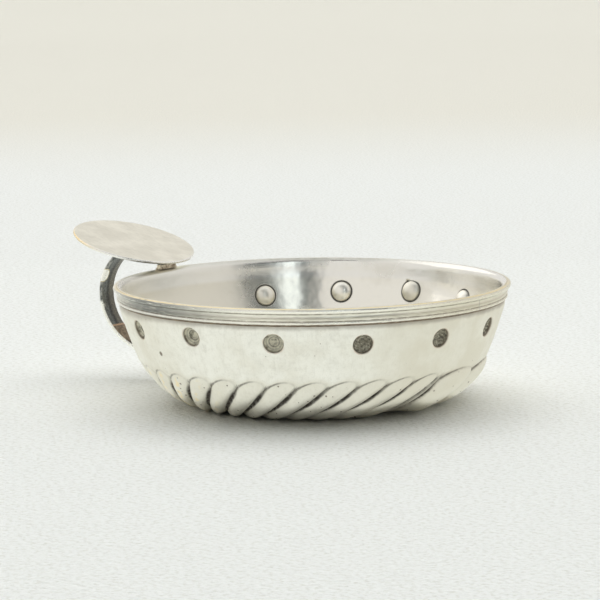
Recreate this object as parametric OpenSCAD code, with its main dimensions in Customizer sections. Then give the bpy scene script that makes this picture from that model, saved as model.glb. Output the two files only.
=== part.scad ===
// Tastevin: a shallow wine taster with a chased bowl, a ring handle and a thumb rest.
// The bowl's axis is Z, it stands on the plane Z = 0, and the handle points along -X.
// Sizes are in mm and angles in degrees.

/* [Bowl] */
// Outside diameter of the bowl's wall at the lip
lip_d = 78.3; // [70:0.1:90]
// Height of the lip above the table
bowl_h = 24; // [20:0.5:30]
// Diameter of the flat that the bowl stands on
base_d = 41; // [36:0.5:54]
// Lean of the wall from upright where the round corner ends
shoulder_lean = 22; // [18:0.5:28]
// Lean of the wall from upright just under the collar
neck_lean = 16; // [8:0.5:17]
// Height of the collar that shows below the rim moulding
collar_below = 1.4; // [0.6:0.1:3]
// Lean of the collar from upright
collar_lean = 5; // [0:0.5:10]
// Thickness of the sheet
sheet = 0.9; // [0.6:0.05:1.4]
// Diameter of the raised dome in the middle of the floor
dome_d = 26; // [12:0.5:32]
// Height of that dome
dome_h = 2.6; // [1:0.1:4]

/* [Gadroons] */
// Number of fine gadroons
fine_count = 17; // [9:1:21]
// Number of broad gadroons
broad_count = 9; // [5:1:13]
// Part of the circle that the fine gadroons take
fine_span = 169.5; // [120:0.5:240]
// Turn of the first fine gadroon from the handle's line
gadroon_turn = 5; // [0:0.5:12]
// Height of the gadroons' round tops above the table
gadroon_h = 9.3; // [7:0.1:13]
// How far the gadroons lean round the bowl for each mm down from their tops
gadroon_lean = 0.95; // [0:0.05:2]
// How much more they lean for each further mm down
gadroon_curl = 0.033; // [0:0.001:0.06]
// Lean of the first broad gadroon as a share of the fine ones' lean
broad_lean = 0.5; // [0.3:0.05:1]
// How far the lower end of a fine gadroon stands proud of the wall
crest_h = 0.4; // [0.2:0.05:0.5]
// How far a broad gadroon stands proud of the wall
broad_crest_h = 0.9; // [0.4:0.05:1]
// How deep the groove between two gadroons goes
groove_d = 0.9; // [0.2:0.05:1]
// Length of the round top of a gadroon
tongue_len = 3.1; // [2:0.1:5]
// Angle left plain on each side of the handle's foot
panel_margin = 2; // [1:0.5:10]

/* [Punched dimples] */
// Turn of the row of dimples from the handle's line
dimple_turn = 1.8; // [-6:0.1:6]
// Number of places for dimples round the bowl
dimple_places = 14; // [8:1:18]
// Places left empty behind the handle
dimple_gap = 2; // [0:2:4]
// Distance from the collar down to the dimples' middles
dimple_drop = 2.3; // [2:0.1:4]
// Diameter of a pit at the outside face
pit_d = 3.8; // [2:0.1:5]
// Depth of a pit
pit_depth = 1.3; // [0.6:0.05:1.6]
// Thickness of the metal left round a pit
pit_wall = 0.75; // [0.5:0.05:1]

/* [Rim moulding] */
// Height of the moulding
moulding_h = 3.2; // [2.4:0.1:5]
// Thickness of the flat band of the moulding
band_t = 0.25; // [0.15:0.05:0.4]
// Radius of the bead along the lip
lip_bead_r = 0.52; // [0.4:0.02:0.7]
// How far the lip bead's middle stands out of the band
lip_bead_lift = 0.13; // [0:0.01:0.3]
// Depth of the lip bead's middle below the lip
lip_bead_drop = 0.5; // [0.1:0.05:0.6]
// Radius of the lower bead
low_bead_r = 0.3; // [0.25:0.05:0.4]
// How far the lower bead's middle lies behind the band's face
low_bead_sink = 0.1; // [0:0.05:0.2]
// Distance from the lower bead to the end of the moulding
low_bead_inset = 0.05; // [0.05:0.05:0.3]
// Width of the solder line under the moulding
rim_solder_w = 0.3; // [0.15:0.05:0.5]

/* [Finger ring] */
// Distance from the lip out to the outer face of the loop
ring_reach = 17.6; // [13:0.1:24]
// Distance from the lip out to the middle of the loop
ring_middle = 1.2; // [0:0.1:4]
// Height of the loop's lowest point above the table
ring_clear = 5.1; // [3:0.1:8]
// How far the loop's oval would pass through the thumb rest if it weren't flattened under it
ring_crown = 3.5; // [1:0.1:5]
// Thickness of the strap
strap_t = 0.9; // [0.6:0.05:1.4]
// Width of the strap round the loop
strap_w = 3.8; // [3:0.1:8]
// Width of the strap at its ends
strap_end_w = 4.8; // [3:0.1:9]
// Length over which the strap narrows
strap_taper = 10; // [6:0.5:14]
// Width of the ledge of lip that shows inside the strap's upper end
lip_ledge = 0.25; // [0.1:0.05:0.4]
// How far a solder pad reaches past the strap
pad_reach = 0.4; // [0.2:0.05:1]
// Thickness of a solder pad
pad_t = 0.9; // [0.4:0.05:1.2]

/* [Thumb rest] */
// Diameter of the thumb rest
rest_d = 26.1; // [18:0.1:32]
// Thickness of the thumb rest
rest_t = 0.65; // [0.5:0.05:1.6]
// Distance from the lip out to the middle of the thumb rest
rest_reach = 8.8; // [4:0.1:14]
// Height of the middle of the rest's top face above the lip
rest_rise = 5.3; // [4.8:0.1:9]
// Tilt of the rest, outer end up
rest_tilt = 15.6; // [5:0.1:20]

/* [Hidden] */
$fn = 96;

lip_r = lip_d / 2;
base_r = base_d / 2;

// The outside profile is a corner arc, a wall arc that runs on from it smoothly, and a straight collar.
// Turns along it are measured from level.
collar_h = moulding_h + collar_below;
neck = [lip_r - collar_h * tan(collar_lean), bowl_h - collar_h];
shoulder_turn = 90 - shoulder_lean;
neck_turn = 90 - neck_lean;
collar_turn = 90 - collar_lean;
flare = [sin(shoulder_turn), sin(neck_turn) - sin(shoulder_turn)];
climb = [1 - cos(shoulder_turn), cos(shoulder_turn) - cos(neck_turn)];
profile_det = flare[0] * climb[1] - flare[1] * climb[0];
corner_r = ((neck[0] - base_r) * climb[1] - flare[1] * neck[1]) / profile_det;
wall_r = (flare[0] * neck[1] - climb[0] * (neck[0] - base_r)) / profile_det;
corner_len = corner_r * shoulder_turn * PI / 180;
neck_len = corner_len + wall_r * (neck_turn - shoulder_turn) * PI / 180;
profile_len = neck_len + collar_h / cos(collar_lean);

// Turn of the profile, and its point [radius, height], at a length along it and a distance out of it
function turn_at(s) = s < corner_len ? s / corner_r * 180 / PI
    : s < neck_len ? shoulder_turn + (s - corner_len) / wall_r * 180 / PI
    : collar_turn;
function profile_at(s, out = 0) = let (
        turn = turn_at(s),
        point = s < corner_len ? [base_r + corner_r * sin(turn), corner_r - corner_r * cos(turn)]
            : s < neck_len ? neck + wall_r * [sin(turn) - sin(neck_turn), cos(neck_turn) - cos(turn)]
            : neck + (s - neck_len) * [cos(turn), sin(turn)])
    point + out * [sin(turn), -cos(turn)];

// Length along the profile at a height
function length_at(z) = z < corner_r * climb[0] ? corner_r * acos(1 - z / corner_r) * PI / 180
    : z < neck[1] ? neck_len - wall_r * (neck_turn - acos(cos(neck_turn) + (neck[1] - z) / wall_r)) * PI / 180
    : neck_len + (z - neck[1]) / cos(collar_lean);
gadroon_len = length_at(gadroon_h);

// Rows of points up the wall, closer together at the gadroons' tops
gadroon_rows = 9;
wall_rows = 3;
row_crowding = 1.5;
rows = concat([for (i = [0 : gadroon_rows]) gadroon_len * (1 - pow(1 - i / gadroon_rows, row_crowding))],
    [for (i = [1 : wall_rows]) gadroon_len + (neck_len - gadroon_len) * i / wall_rows], [profile_len]);

// Columns of points round the wall: [angle at the gadroons' tops, place across its gadroon from -1 to 1, share of the
// lean, 1 on a broad gadroon, share of the relief]. A shallow strip lies between the last fine one and the first broad.
fine_columns = 6;
broad_columns = 8;
strip_turn = 0.08;
strip_relief = 0.25;
fine_pitch = fine_span / fine_count;
fine_start = 180 + gadroon_turn;
broad_start = fine_start + fine_span;
columns = concat(
    [for (i = [0 : fine_count - 1], k = [0 : fine_columns - 1])
        [fine_start + fine_pitch * (i + k / fine_columns), 2 * k / fine_columns - 1, 1, 0, 1]],
    [[broad_start - strip_turn, 1, (1 + broad_lean) / 2, 0, strip_relief]],
    [for (i = [0 : broad_count - 1], k = [0 : broad_columns - 1]) let (place = (i + k / broad_columns) / broad_count)
        [broad_start + (360 - fine_span) * place, 2 * k / broad_columns - 1,
            broad_lean + (1 - broad_lean) * place * place, 1, 1]]);
column_count = len(columns);
row_count = len(rows);

// Relief of the gadroons: each is a rounded lobe with a round top, its foot fading into the base
groove_fade = [0, 0.2];
crest_rise = [0.06, 0.26];
crest_fall = [0.3, 0.75];
broad_rise = [0.2, 0.4];
lobe_roundness = 0.55;
panel_blend = 4;
foot_r = profile_at(length_at(ring_clear))[0];
panel_half = asin((strap_end_w / 2 + pad_reach) / foot_r) + panel_margin;
function ramp(x, from, to) = let (t = min(1, max(0, (x - from) / (to - from)))) t * t * (3 - 2 * t);
function angle_from_handle(a) = abs((a % 360) - 180);
function relief(s, column, angle) = let (
        q = column[1],
        top = max(0, 1 + (s - gadroon_len) / tongue_len),
        spread = q * q + top * top,
        lobe = spread < 1 ? pow(1 - spread, lobe_roundness) : 0,
        share = s / gadroon_len,
        low = -groove_d * ramp(share, groove_fade[0], groove_fade[1]) * max(0, 1 - top),
        high = column[3] == 1 ? broad_crest_h * ramp(share, broad_rise[0], broad_rise[1])
            : crest_h * ramp(share, crest_rise[0], crest_rise[1]) * (1 - ramp(share, crest_fall[0], crest_fall[1])))
    (low + (high - low) * lobe) * column[4]
        * ramp(angle_from_handle(angle), panel_half, panel_half + panel_blend);

function column_angle(column, s) = let (below = max(0, gadroon_len - s))
    column[0] - column[2] * below * (gadroon_lean + gadroon_curl * below);
function wall_point(s, column, out) = let (
        angle = column_angle(column, s),
        point = s == profile_len && out < 0
            ? [lip_r + out / sin(collar_turn), bowl_h]
            : profile_at(s, out + relief(s, column, angle)))
    [point[0] * cos(angle), point[0] * sin(angle), point[1]];

// The bowl's skin: the outside from base to lip, then the inside from lip to floor, closed by two middles
module bowl_skin() {
    outside = [for (s = rows, c = columns) wall_point(s, c, 0)];
    inside = [for (i = [row_count - 1 : -1 : 0], c = columns) wall_point(rows[i], c, -sheet)];
    rings = 2 * row_count;
    base_middle = rings * column_count;
    floor_middle = base_middle + 1;
    faces = concat(
        [for (r = [0 : rings - 2], c = [0 : column_count - 1]) let (n = (c + 1) % column_count)
            each [[r * column_count + c, (r + 1) * column_count + c, (r + 1) * column_count + n],
                [r * column_count + c, (r + 1) * column_count + n, r * column_count + n]]],
        [for (c = [0 : column_count - 1]) let (n = (c + 1) % column_count)
            each [[base_middle, c, n],
                [floor_middle, (rings - 1) * column_count + n, (rings - 1) * column_count + c]]]);
    polyhedron(concat(outside, inside, [[0, 0, 0], [0, 0, sheet]]), faces);
}

// Everything inside the wall's plain surface, grown outwards by a distance
module inside_wall(out = 0) {
    rotate_extrude()
        polygon(concat([[0, bowl_h]], [[0, min(0, -out)]], [for (s = rows) profile_at(s, out)],
            out > 0 ? [[lip_r + out, bowl_h]] : []));
}

// Dimples: one ball for the pit and a larger one, about the same middle, for the dome inside the bowl.
// They are punched by hand, so each lies a little off its even place: [turn, distance up the wall].
dimple_nudges = [[0, 0], [-0.5, 0], [-0.9, 0.45], [-0.5, 0], [-0.5, -0.45], [-0.4, -0.65],
    [-1.6, -0.5], [0, 0], [4, -0.4], [1.8, 0.2], [0.8, -0.55], [0.8, -1.1]];
pit_r = (pit_d * pit_d / 4 + pit_depth * pit_depth) / (2 * pit_depth);
dimple_pitch = 360 / dimple_places;
dimple_h = neck[1] - dimple_drop;
module dimple_balls(ball_r) {
    first = (dimple_gap + 1) / 2;
    for (i = [0 : dimple_places - dimple_gap - 1]) {
        nudge = dimple_nudges[i % len(dimple_nudges)];
        middle = profile_at(length_at(dimple_h) + nudge[1], pit_r - pit_depth);
        rotate(180 + dimple_turn + dimple_pitch * (first + i) + nudge[0])
            translate([middle[0], 0, middle[1]])
                sphere(ball_r);
    }
}

// Ball that swells the middle of the floor
module floor_ball(rise, span) {
    ball_r = (span * span / 4 + rise * rise) / (2 * rise);
    translate([0, 0, rise - ball_r])
        sphere(ball_r);
}

module bowl() {
    color("gainsboro")
        difference() {
            union() {
                bowl_skin();
                intersection() {
                    dimple_balls(pit_r + pit_wall);
                    inside_wall(-sheet / 2);
                }
                intersection() {
                    translate([0, 0, sheet / 2]) floor_ball(dome_h + sheet / 2, dome_d + 2 * sheet);
                    translate([0, 0, sheet / 2]) cylinder(r = base_r, h = bowl_h);
                }
            }
            dimple_balls(pit_r);
            floor_ball(dome_h, dome_d);
        }
}

// Point of the moulding's section at a length down the collar from the lip and a distance out of it
function section_point(down, out) = profile_at(profile_len - down, out);

// A bead's outline, as points of the section: a round that ends on the band, its middle lifted from the band
bead_steps = 10;
function bead(down, lift, bead_r, start) = let (end = asin(-lift / bead_r))
    [for (i = [0 : bead_steps]) let (a = start + (end - start) * i / bead_steps)
        section_point(down + bead_r * cos(a), band_t + lift + bead_r * sin(a))];
lip_bead = bead(lip_bead_drop, lip_bead_lift, lip_bead_r, acos(-min(1, lip_bead_drop / lip_bead_r)));
low_bead = bead(moulding_h - low_bead_inset - low_bead_r, -low_bead_sink, low_bead_r,
    180 - asin(low_bead_sink / low_bead_r));

module rim_moulding() {
    color("silver")
        rotate_extrude()
            polygon(concat([section_point(0, 0)], lip_bead, low_bead,
                [section_point(moulding_h, band_t), section_point(moulding_h, 0)]));
}

module rim_solder() {
    color("rosybrown")
        rotate_extrude()
            polygon([section_point(moulding_h, 0), section_point(moulding_h, band_t),
                section_point(moulding_h + rim_solder_w, 0)]);
}

// Place of the thumb rest: the middle of its top face, as [X, Z]
rest_middle = [-(lip_r + rest_reach), bowl_h + rest_rise];

// Side view below the rest's underside, lowered by a distance square to it
far = 4 * rest_d;
module below_rest(gap = 0) {
    translate(rest_middle) rotate(-rest_tilt) translate([-far / 2, -far - rest_t - gap]) square(far);
}

// Side view of the loop's oval, drawn in by a distance
rest_under = bowl_h + rest_rise - rest_t / cos(rest_tilt) - (rest_reach - ring_middle) * tan(rest_tilt);
ring_top = rest_under + ring_crown;
oval_points = 96;
module oval(inset = 0) {
    across = ring_reach - ring_middle - inset;
    upright = (ring_top - ring_clear) / 2 - inset;
    polygon([for (i = [0 : oval_points - 1]) let (a = 360 * i / oval_points)
        [-(lip_r + ring_middle) + across * cos(a), (ring_top + ring_clear) / 2 + upright * sin(a)]]);
}

// The strap's upper end is a post that stands on the lip
end_in = lip_r - sheet + lip_ledge;
module post_side(foot) {
    translate([-end_in - strap_t, foot]) square([strap_t, far]);
}
module strap_side() {
    difference() {
        intersection() {
            oval();
            below_rest();
        }
        intersection() {
            oval(strap_t);
            below_rest(strap_t);
        }
        translate([-end_in, bowl_h / 2]) square([far, far]);
    }
    intersection() {
        post_side(bowl_h);
        below_rest();
    }
}

// Plan of the strap, grown by a distance: wide at the bowl, then narrowing
module strap_plan(grow = 0) {
    wide = strap_end_w / 2 + grow;
    slim = strap_w / 2 + grow;
    polygon([[0, -wide], [0, wide], [-lip_r, wide], [-lip_r - strap_taper, slim], [-far, slim], [-far, -slim],
        [-lip_r - strap_taper, -slim], [-lip_r, -wide]]);
}

// A side view given the strap's width
module as_strap(grow = 0) {
    intersection() {
        rotate([90, 0, 0]) linear_extrude(far, center = true) children();
        linear_extrude(far) strap_plan(grow);
    }
}

module strap() {
    difference() {
        as_strap() strap_side();
        inside_wall();
    }
}

module finger_ring() {
    color("lightgray") strap();
}

module foot_solder() {
    color("rosybrown")
        difference() {
            intersection() {
                as_strap(pad_reach)
                    difference() {
                        oval(-pad_reach);
                        oval(strap_t + pad_reach);
                        translate([-far, bowl_h / 2]) square([2 * far, far]);
                    }
                inside_wall(pad_t);
            }
            inside_wall();
            strap();
        }
}

module lip_solder() {
    color("rosybrown")
        difference() {
            translate([-end_in - strap_t - lip_ledge, -strap_end_w / 2 - pad_reach, bowl_h])
                cube([strap_t + 2 * lip_ledge, strap_end_w + 2 * pad_reach, pad_t]);
            as_strap() post_side(0);
        }
}

module thumb_rest() {
    edge_steps = 8;
    edge_r = rest_t / 2;
    color("gainsboro")
        translate([rest_middle[0], 0, rest_middle[1]])
            rotate([0, rest_tilt, 0])
                rotate_extrude()
                    polygon(concat([[0, -rest_t], [0, 0]],
                        [for (i = [0 : edge_steps]) let (a = 90 - 180 * i / edge_steps)
                            [rest_d / 2 - edge_r + edge_r * cos(a), -edge_r + edge_r * sin(a)]]));
}

module thumb_rest_solder() {
    color("rosybrown")
        difference() {
            as_strap(pad_reach)
                difference() {
                    intersection() {
                        oval();
                        below_rest();
                    }
                    below_rest(pad_t / 2);
                    translate([-end_in - strap_t, 0]) square([far, far]);
                }
            linear_extrude(far) strap_plan();
        }
}

bowl();
rim_moulding();
rim_solder();
finger_ring();
foot_solder();
lip_solder();
thumb_rest();
thumb_rest_solder();
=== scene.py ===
"""Worn silver-plated tastevin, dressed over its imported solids.

Lengths inside the classes are millimetres and angles are degrees, in the part's own frame: the bowl's axis
is Z, it stands on Z = 0 and the handle points along -X. Meshes are written in metres.
"""

import logging
import math
from dataclasses import dataclass, field
from enum import Enum
from functools import cached_property
from typing import Callable, Sequence

import bpy
from mathutils import Matrix, Vector


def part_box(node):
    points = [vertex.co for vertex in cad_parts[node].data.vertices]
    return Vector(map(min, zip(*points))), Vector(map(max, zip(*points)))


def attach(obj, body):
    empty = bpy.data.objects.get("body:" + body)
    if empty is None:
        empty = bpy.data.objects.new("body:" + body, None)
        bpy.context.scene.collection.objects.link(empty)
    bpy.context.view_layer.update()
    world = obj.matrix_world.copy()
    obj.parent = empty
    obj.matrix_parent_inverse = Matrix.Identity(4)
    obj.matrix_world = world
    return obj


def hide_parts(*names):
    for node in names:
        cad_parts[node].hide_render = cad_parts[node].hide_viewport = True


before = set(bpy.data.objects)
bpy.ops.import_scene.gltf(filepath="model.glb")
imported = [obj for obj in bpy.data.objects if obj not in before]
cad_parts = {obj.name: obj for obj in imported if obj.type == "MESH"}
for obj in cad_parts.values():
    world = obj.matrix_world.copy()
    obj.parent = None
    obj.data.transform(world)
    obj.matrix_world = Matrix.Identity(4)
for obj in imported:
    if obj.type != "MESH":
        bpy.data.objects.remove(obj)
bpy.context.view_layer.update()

MM = 0.001
VIEW_TURN = 38.5
FRONT_TURN = VIEW_TURN - 90.0
HANDLE_TURN = 180.0
LOG = logging.getLogger("tastevin")

Colour = tuple[float, float, float]
Span = tuple[float, float]
Face = tuple[int, ...]
Number = "Field | float"


# Numbers and colours in node trees


class Field:
    """A number, vector or colour that varies over a piece, carried by a socket of a node tree."""

    def __init__(self, socket: bpy.types.NodeSocket) -> None:
        """Keeps the socket."""
        self.socket = socket

    @property
    def tree(self) -> bpy.types.NodeTree:
        """The node tree that the socket is in."""
        return self.socket.id_data

    def __add__(self, other: Number) -> "Field":
        """Sum."""
        return compute("ADD", self, other)

    def __sub__(self, other: Number) -> "Field":
        """Difference."""
        return compute("SUBTRACT", self, other)

    def __rsub__(self, other: float) -> "Field":
        """Difference, with a plain number first."""
        return compute("SUBTRACT", other, self)

    def __mul__(self, other: Number) -> "Field":
        """Product."""
        return compute("MULTIPLY", self, other)

    def __truediv__(self, other: Number) -> "Field":
        """Quotient."""
        return compute("DIVIDE", self, other)

    def __pow__(self, other: Number) -> "Field":
        """Power."""
        return compute("POWER", self, other)

    def __abs__(self) -> "Field":
        """Size without sign."""
        return compute("ABSOLUTE", self)

    __radd__, __rmul__ = __add__, __mul__

    def at_least(self, other: Number) -> "Field":
        """The larger of two numbers."""
        return compute("MAXIMUM", self, other)

    def at_most(self, other: Number) -> "Field":
        """The smaller of two numbers."""
        return compute("MINIMUM", self, other)

    def over(self, other: Number) -> "Field":
        """1 where this number is the larger, and 0 elsewhere."""
        return compute("GREATER_THAN", self, other)

    def rise(self, low: Number, high: Number) -> "Field":
        """Climbs smoothly from 0 to 1 as this number goes from low to high."""
        return made_by("ShaderNodeMapRange", {0: self, 1: low, 2: high}, interpolation_type="SMOOTHSTEP")

    def fall(self, low: Number, high: Number) -> "Field":
        """Falls smoothly from 1 to 0 as this number goes from low to high."""
        return 1.0 - self.rise(low, high)

    def near(self, middle: Number, reach: Number) -> "Field":
        """1 at a middle, falling smoothly to 0 at a reach on both sides of it."""
        return abs(self - middle).fall(0.0, reach)

    def angle_from(self, middle: float) -> "Field":
        """This angle from a middle one, between -180 and 180."""
        return compute("WRAP", self - middle, 180.0, -180.0)

    def scaled(self, scale: Sequence[float]) -> "Field":
        """This vector stretched by a number along each axis."""
        return made_by("ShaderNodeVectorMath", {0: self, 1: scale}, operation="MULTIPLY")


def plug(value: object, socket: bpy.types.NodeSocket) -> None:
    """Links a field to a socket, or sets a plain value on it.

    Args:
        value: A field, a number, a colour or vector, a name or a material.
        socket: The input that takes it.
    """
    if isinstance(value, Field):
        socket.id_data.links.new(value.socket, socket)
    else:
        socket.default_value = (*value, 1.0) if socket.type == "RGBA" else value


def add_node(tree: bpy.types.NodeTree, kind: str, inputs: dict[int | str, object] | None = None,
             **settings: object) -> bpy.types.Node:
    """Adds a node to a tree.

    Args:
        tree: The tree.
        kind: The node's type.
        inputs: Fields or plain values for its sockets, by name or number.
        settings: Values for the node's own properties.

    Returns:
        The node.
    """
    node = tree.nodes.new(kind)
    for name, value in settings.items():
        setattr(node, name, value)
    for name, value in (inputs or {}).items():
        plug(value, node.inputs[name])
    return node


def made_by(kind: str, inputs: dict[int | str, object], output: int = 0, **settings: object) -> Field:
    """Adds a node to the tree of the fields that it takes.

    Args:
        kind: The node's type.
        inputs: Values for its sockets, by name or number, at least one of them a field.
        output: Number of the output that is wanted.
        settings: Values for the node's own properties.

    Returns:
        That output.
    """
    tree = next(value.tree for value in inputs.values() if isinstance(value, Field))
    return Field(add_node(tree, kind, inputs, **settings).outputs[output])


def compute(operation: str, *values: Number) -> Field:
    """One step of arithmetic on fields and plain numbers."""
    return made_by("ShaderNodeMath", dict(enumerate(values)), operation=operation)


def tint(share: Number, low: "Field | Colour", high: "Field | Colour") -> Field:
    """Mixes two colours: the first where the share is 0, the second where it is 1."""
    return made_by("ShaderNodeMix", {0: share, 6: low, 7: high}, output=2, data_type="RGBA")


def joined(x: Number, y: Number, z: Number) -> Field:
    """A vector of three numbers."""
    return made_by("ShaderNodeCombineXYZ", {0: x, 1: y, 2: z})


def parts_of(vector: Field) -> list[Field]:
    """The X, Y and Z of a vector."""
    return [Field(socket) for socket in add_node(vector.tree, "ShaderNodeSeparateXYZ", {0: vector}).outputs]


def slant(x: Field, y: Field) -> Field:
    """Length of the slant of two lengths that are square to each other."""
    return compute("SQRT", x * x + y * y)


def behind(x: Field, y: Field) -> Field:
    """How far a place lies on the side away from the camera."""
    return y * math.cos(math.radians(VIEW_TURN)) - x * math.sin(math.radians(VIEW_TURN))


# Geometry Nodes


class Recipe:
    """A Geometry Nodes tree with named sizes, run once on a piece and then taken off it."""

    def __init__(self, name: str) -> None:
        """Starts an empty tree.

        Args:
            name: The tree's name.
        """
        self.tree = bpy.data.node_groups.new(name, "GeometryNodeTree")
        for way in ("INPUT", "OUTPUT"):
            self.tree.interface.new_socket("Geometry", in_out=way, socket_type="NodeSocketGeometry")
        self.inlet = self.tree.nodes.new("NodeGroupInput")
        self.outlet = self.tree.nodes.new("NodeGroupOutput")
        self.sizes: dict[str, float] = {}

    @property
    def geometry(self) -> Field:
        """The piece that comes in."""
        return Field(self.inlet.outputs[0])

    def size(self, name: str, value: float) -> Field:
        """Adds a named input.

        Args:
            name: What the size is.
            value: Its value.

        Returns:
            The size as a field.
        """
        item = self.tree.interface.new_socket(name, in_out="INPUT", socket_type="NodeSocketFloat")
        self.sizes[item.identifier] = value
        return Field(self.inlet.outputs[name])

    def node(self, kind: str, inputs: dict[int | str, object] | None = None, **settings: object) -> Field:
        """The first output of a new node."""
        return Field(add_node(self.tree, kind, inputs, **settings).outputs[0])

    def read(self, name: str, kind: str = "FLOAT") -> Field:
        """What is stored on the piece's points under a name."""
        return self.node("GeometryNodeInputNamedAttribute", {"Name": name}, data_type=kind)

    def store(self, geometry: Field, name: str, value: Field) -> Field:
        """The piece with a number stored on its points, for its finish."""
        return self.node("GeometryNodeStoreNamedAttribute", {
            "Geometry": geometry, "Name": name, "Value": value})

    def move(self, geometry: Field, offset: Field) -> Field:
        """The piece with its points moved."""
        return self.node("GeometryNodeSetPosition", {"Geometry": geometry, "Offset": offset})

    def sweep(self, path: Field, section: Field, capped: bool = False) -> Field:
        """The skin of a section that runs along a path."""
        return self.node("GeometryNodeCurveToMesh", {
            "Curve": path, "Profile Curve": section, "Fill Caps": capped})

    def close(self, geometry: Field, material: bpy.types.Material,
              inner: bpy.types.Material | None = None) -> None:
        """Ends the tree: instances made real, then the material set.

        Args:
            geometry: The finished piece.
            material: Its material.
            inner: A second material for the points that are marked as inner, if any.
        """
        last = self.node("GeometryNodeRealizeInstances", {"Geometry": geometry})
        last = self.node("GeometryNodeSetMaterial", {"Geometry": last, "Material": material})
        if inner is not None:
            last = self.node("GeometryNodeSetMaterial", {
                "Geometry": last, "Selection": self.read("inner").over(0.5), "Material": inner})
        plug(last, self.outlet.inputs[0])

    def run(self, piece: bpy.types.Object) -> None:
        """Runs the tree on a piece and leaves the result as its plain mesh.

        Args:
            piece: The piece, whose mesh is what the tree starts from.
        """
        modifier = piece.modifiers.new(self.tree.name, "NODES")
        modifier.node_group = self.tree
        for identifier, value in self.sizes.items():
            modifier[identifier] = value
        depsgraph = bpy.context.evaluated_depsgraph_get()
        made = bpy.data.meshes.new_from_object(
            piece.evaluated_get(depsgraph), preserve_all_data_layers=True, depsgraph=depsgraph)
        piece.modifiers.remove(modifier)
        piece.data = made


# Meshes


def new_piece(name: str, points: Sequence[Vector], faces: Sequence[Face] = (),
              edges: Sequence[Face] = ()) -> bpy.types.Object:
    """Makes a piece from points in mm.

    Args:
        name: The piece's name.
        points: Its points, in the part's frame.
        faces: Its faces, as lists of point numbers.
        edges: Its loose edges, if it is a line.

    Returns:
        The piece, linked to the scene and shaded smooth.
    """
    mesh = bpy.data.meshes.new(name)
    mesh.from_pydata([tuple(MM * x for x in point) for point in points], edges, faces)
    if faces:
        mesh.shade_smooth()
    piece = bpy.data.objects.new(name, mesh)
    bpy.context.scene.collection.objects.link(piece)
    return piece


def around(ring: Sequence[int]) -> list[tuple[int, int]]:
    """Neighbours in a closed ring of points, in pairs."""
    return list(zip(ring, [*ring[1:], ring[0]]))


def band(low: Sequence[int], high: Sequence[int]) -> list[Face]:
    """Faces between two closed rings of points."""
    return [(a, b, d, c) for (a, b), (c, d) in zip(around(low), around(high))]


def tube(ring_count: int, ring_size: int, first: int = 0) -> list[Face]:
    """Faces of a tube of closed rings of points.

    Args:
        ring_count: Number of rings.
        ring_size: Points in each ring.
        first: Number of the first point.

    Returns:
        Four-sided faces.
    """
    rings = [range(first + r * ring_size, first + (r + 1) * ring_size) for r in range(ring_count)]
    return [face for low, high in zip(rings, rings[1:]) for face in band(low, high)]


def turned_over(faces: Sequence[Face]) -> list[Face]:
    """Faces that look the other way."""
    return [tuple(reversed(face)) for face in faces]


def keep_numbers(piece: bpy.types.Object, name: str, values: Sequence[float]) -> None:
    """Stores one number for each point of a piece."""
    piece.data.attributes.new(name, "FLOAT", "POINT").data.foreach_set("value", values)


def keep_vectors(piece: bpy.types.Object, name: str, values: Sequence[Vector]) -> None:
    """Stores one vector for each point of a piece."""
    flat = [x for value in values for x in value]
    piece.data.attributes.new(name, "FLOAT_VECTOR", "POINT").data.foreach_set("vector", flat)


def polar(radius: float, turn: float, height: float) -> Vector:
    """The point at a radius, an angle and a height."""
    return Vector((radius * math.cos(math.radians(turn)), radius * math.sin(math.radians(turn)), height))


def even(low: float, high: float, steps: int, crowd: float = 1.0) -> list[float]:
    """Numbers from low, which is left out, to high, closer together towards high where crowd is over 1."""
    return [high - (high - low) * (1 - i / steps) ** crowd for i in range(1, steps + 1)]


def dress(piece: bpy.types.Object, node: str, material: bpy.types.Material | None = None) -> None:
    """Rides a piece on the part, gives it a material if one is passed, and hides the solid that it stands
    for.

    Args:
        piece: The finished piece.
        node: The solid that it replaces.
        material: Its material, if it has none yet.
    """
    if material is not None:
        piece.data.materials.append(material)
    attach(piece, "root")
    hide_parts(node)
    LOG.info("%s: %d faces, for %s", piece.name, len(piece.data.polygons), node)


# Finishes


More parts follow.
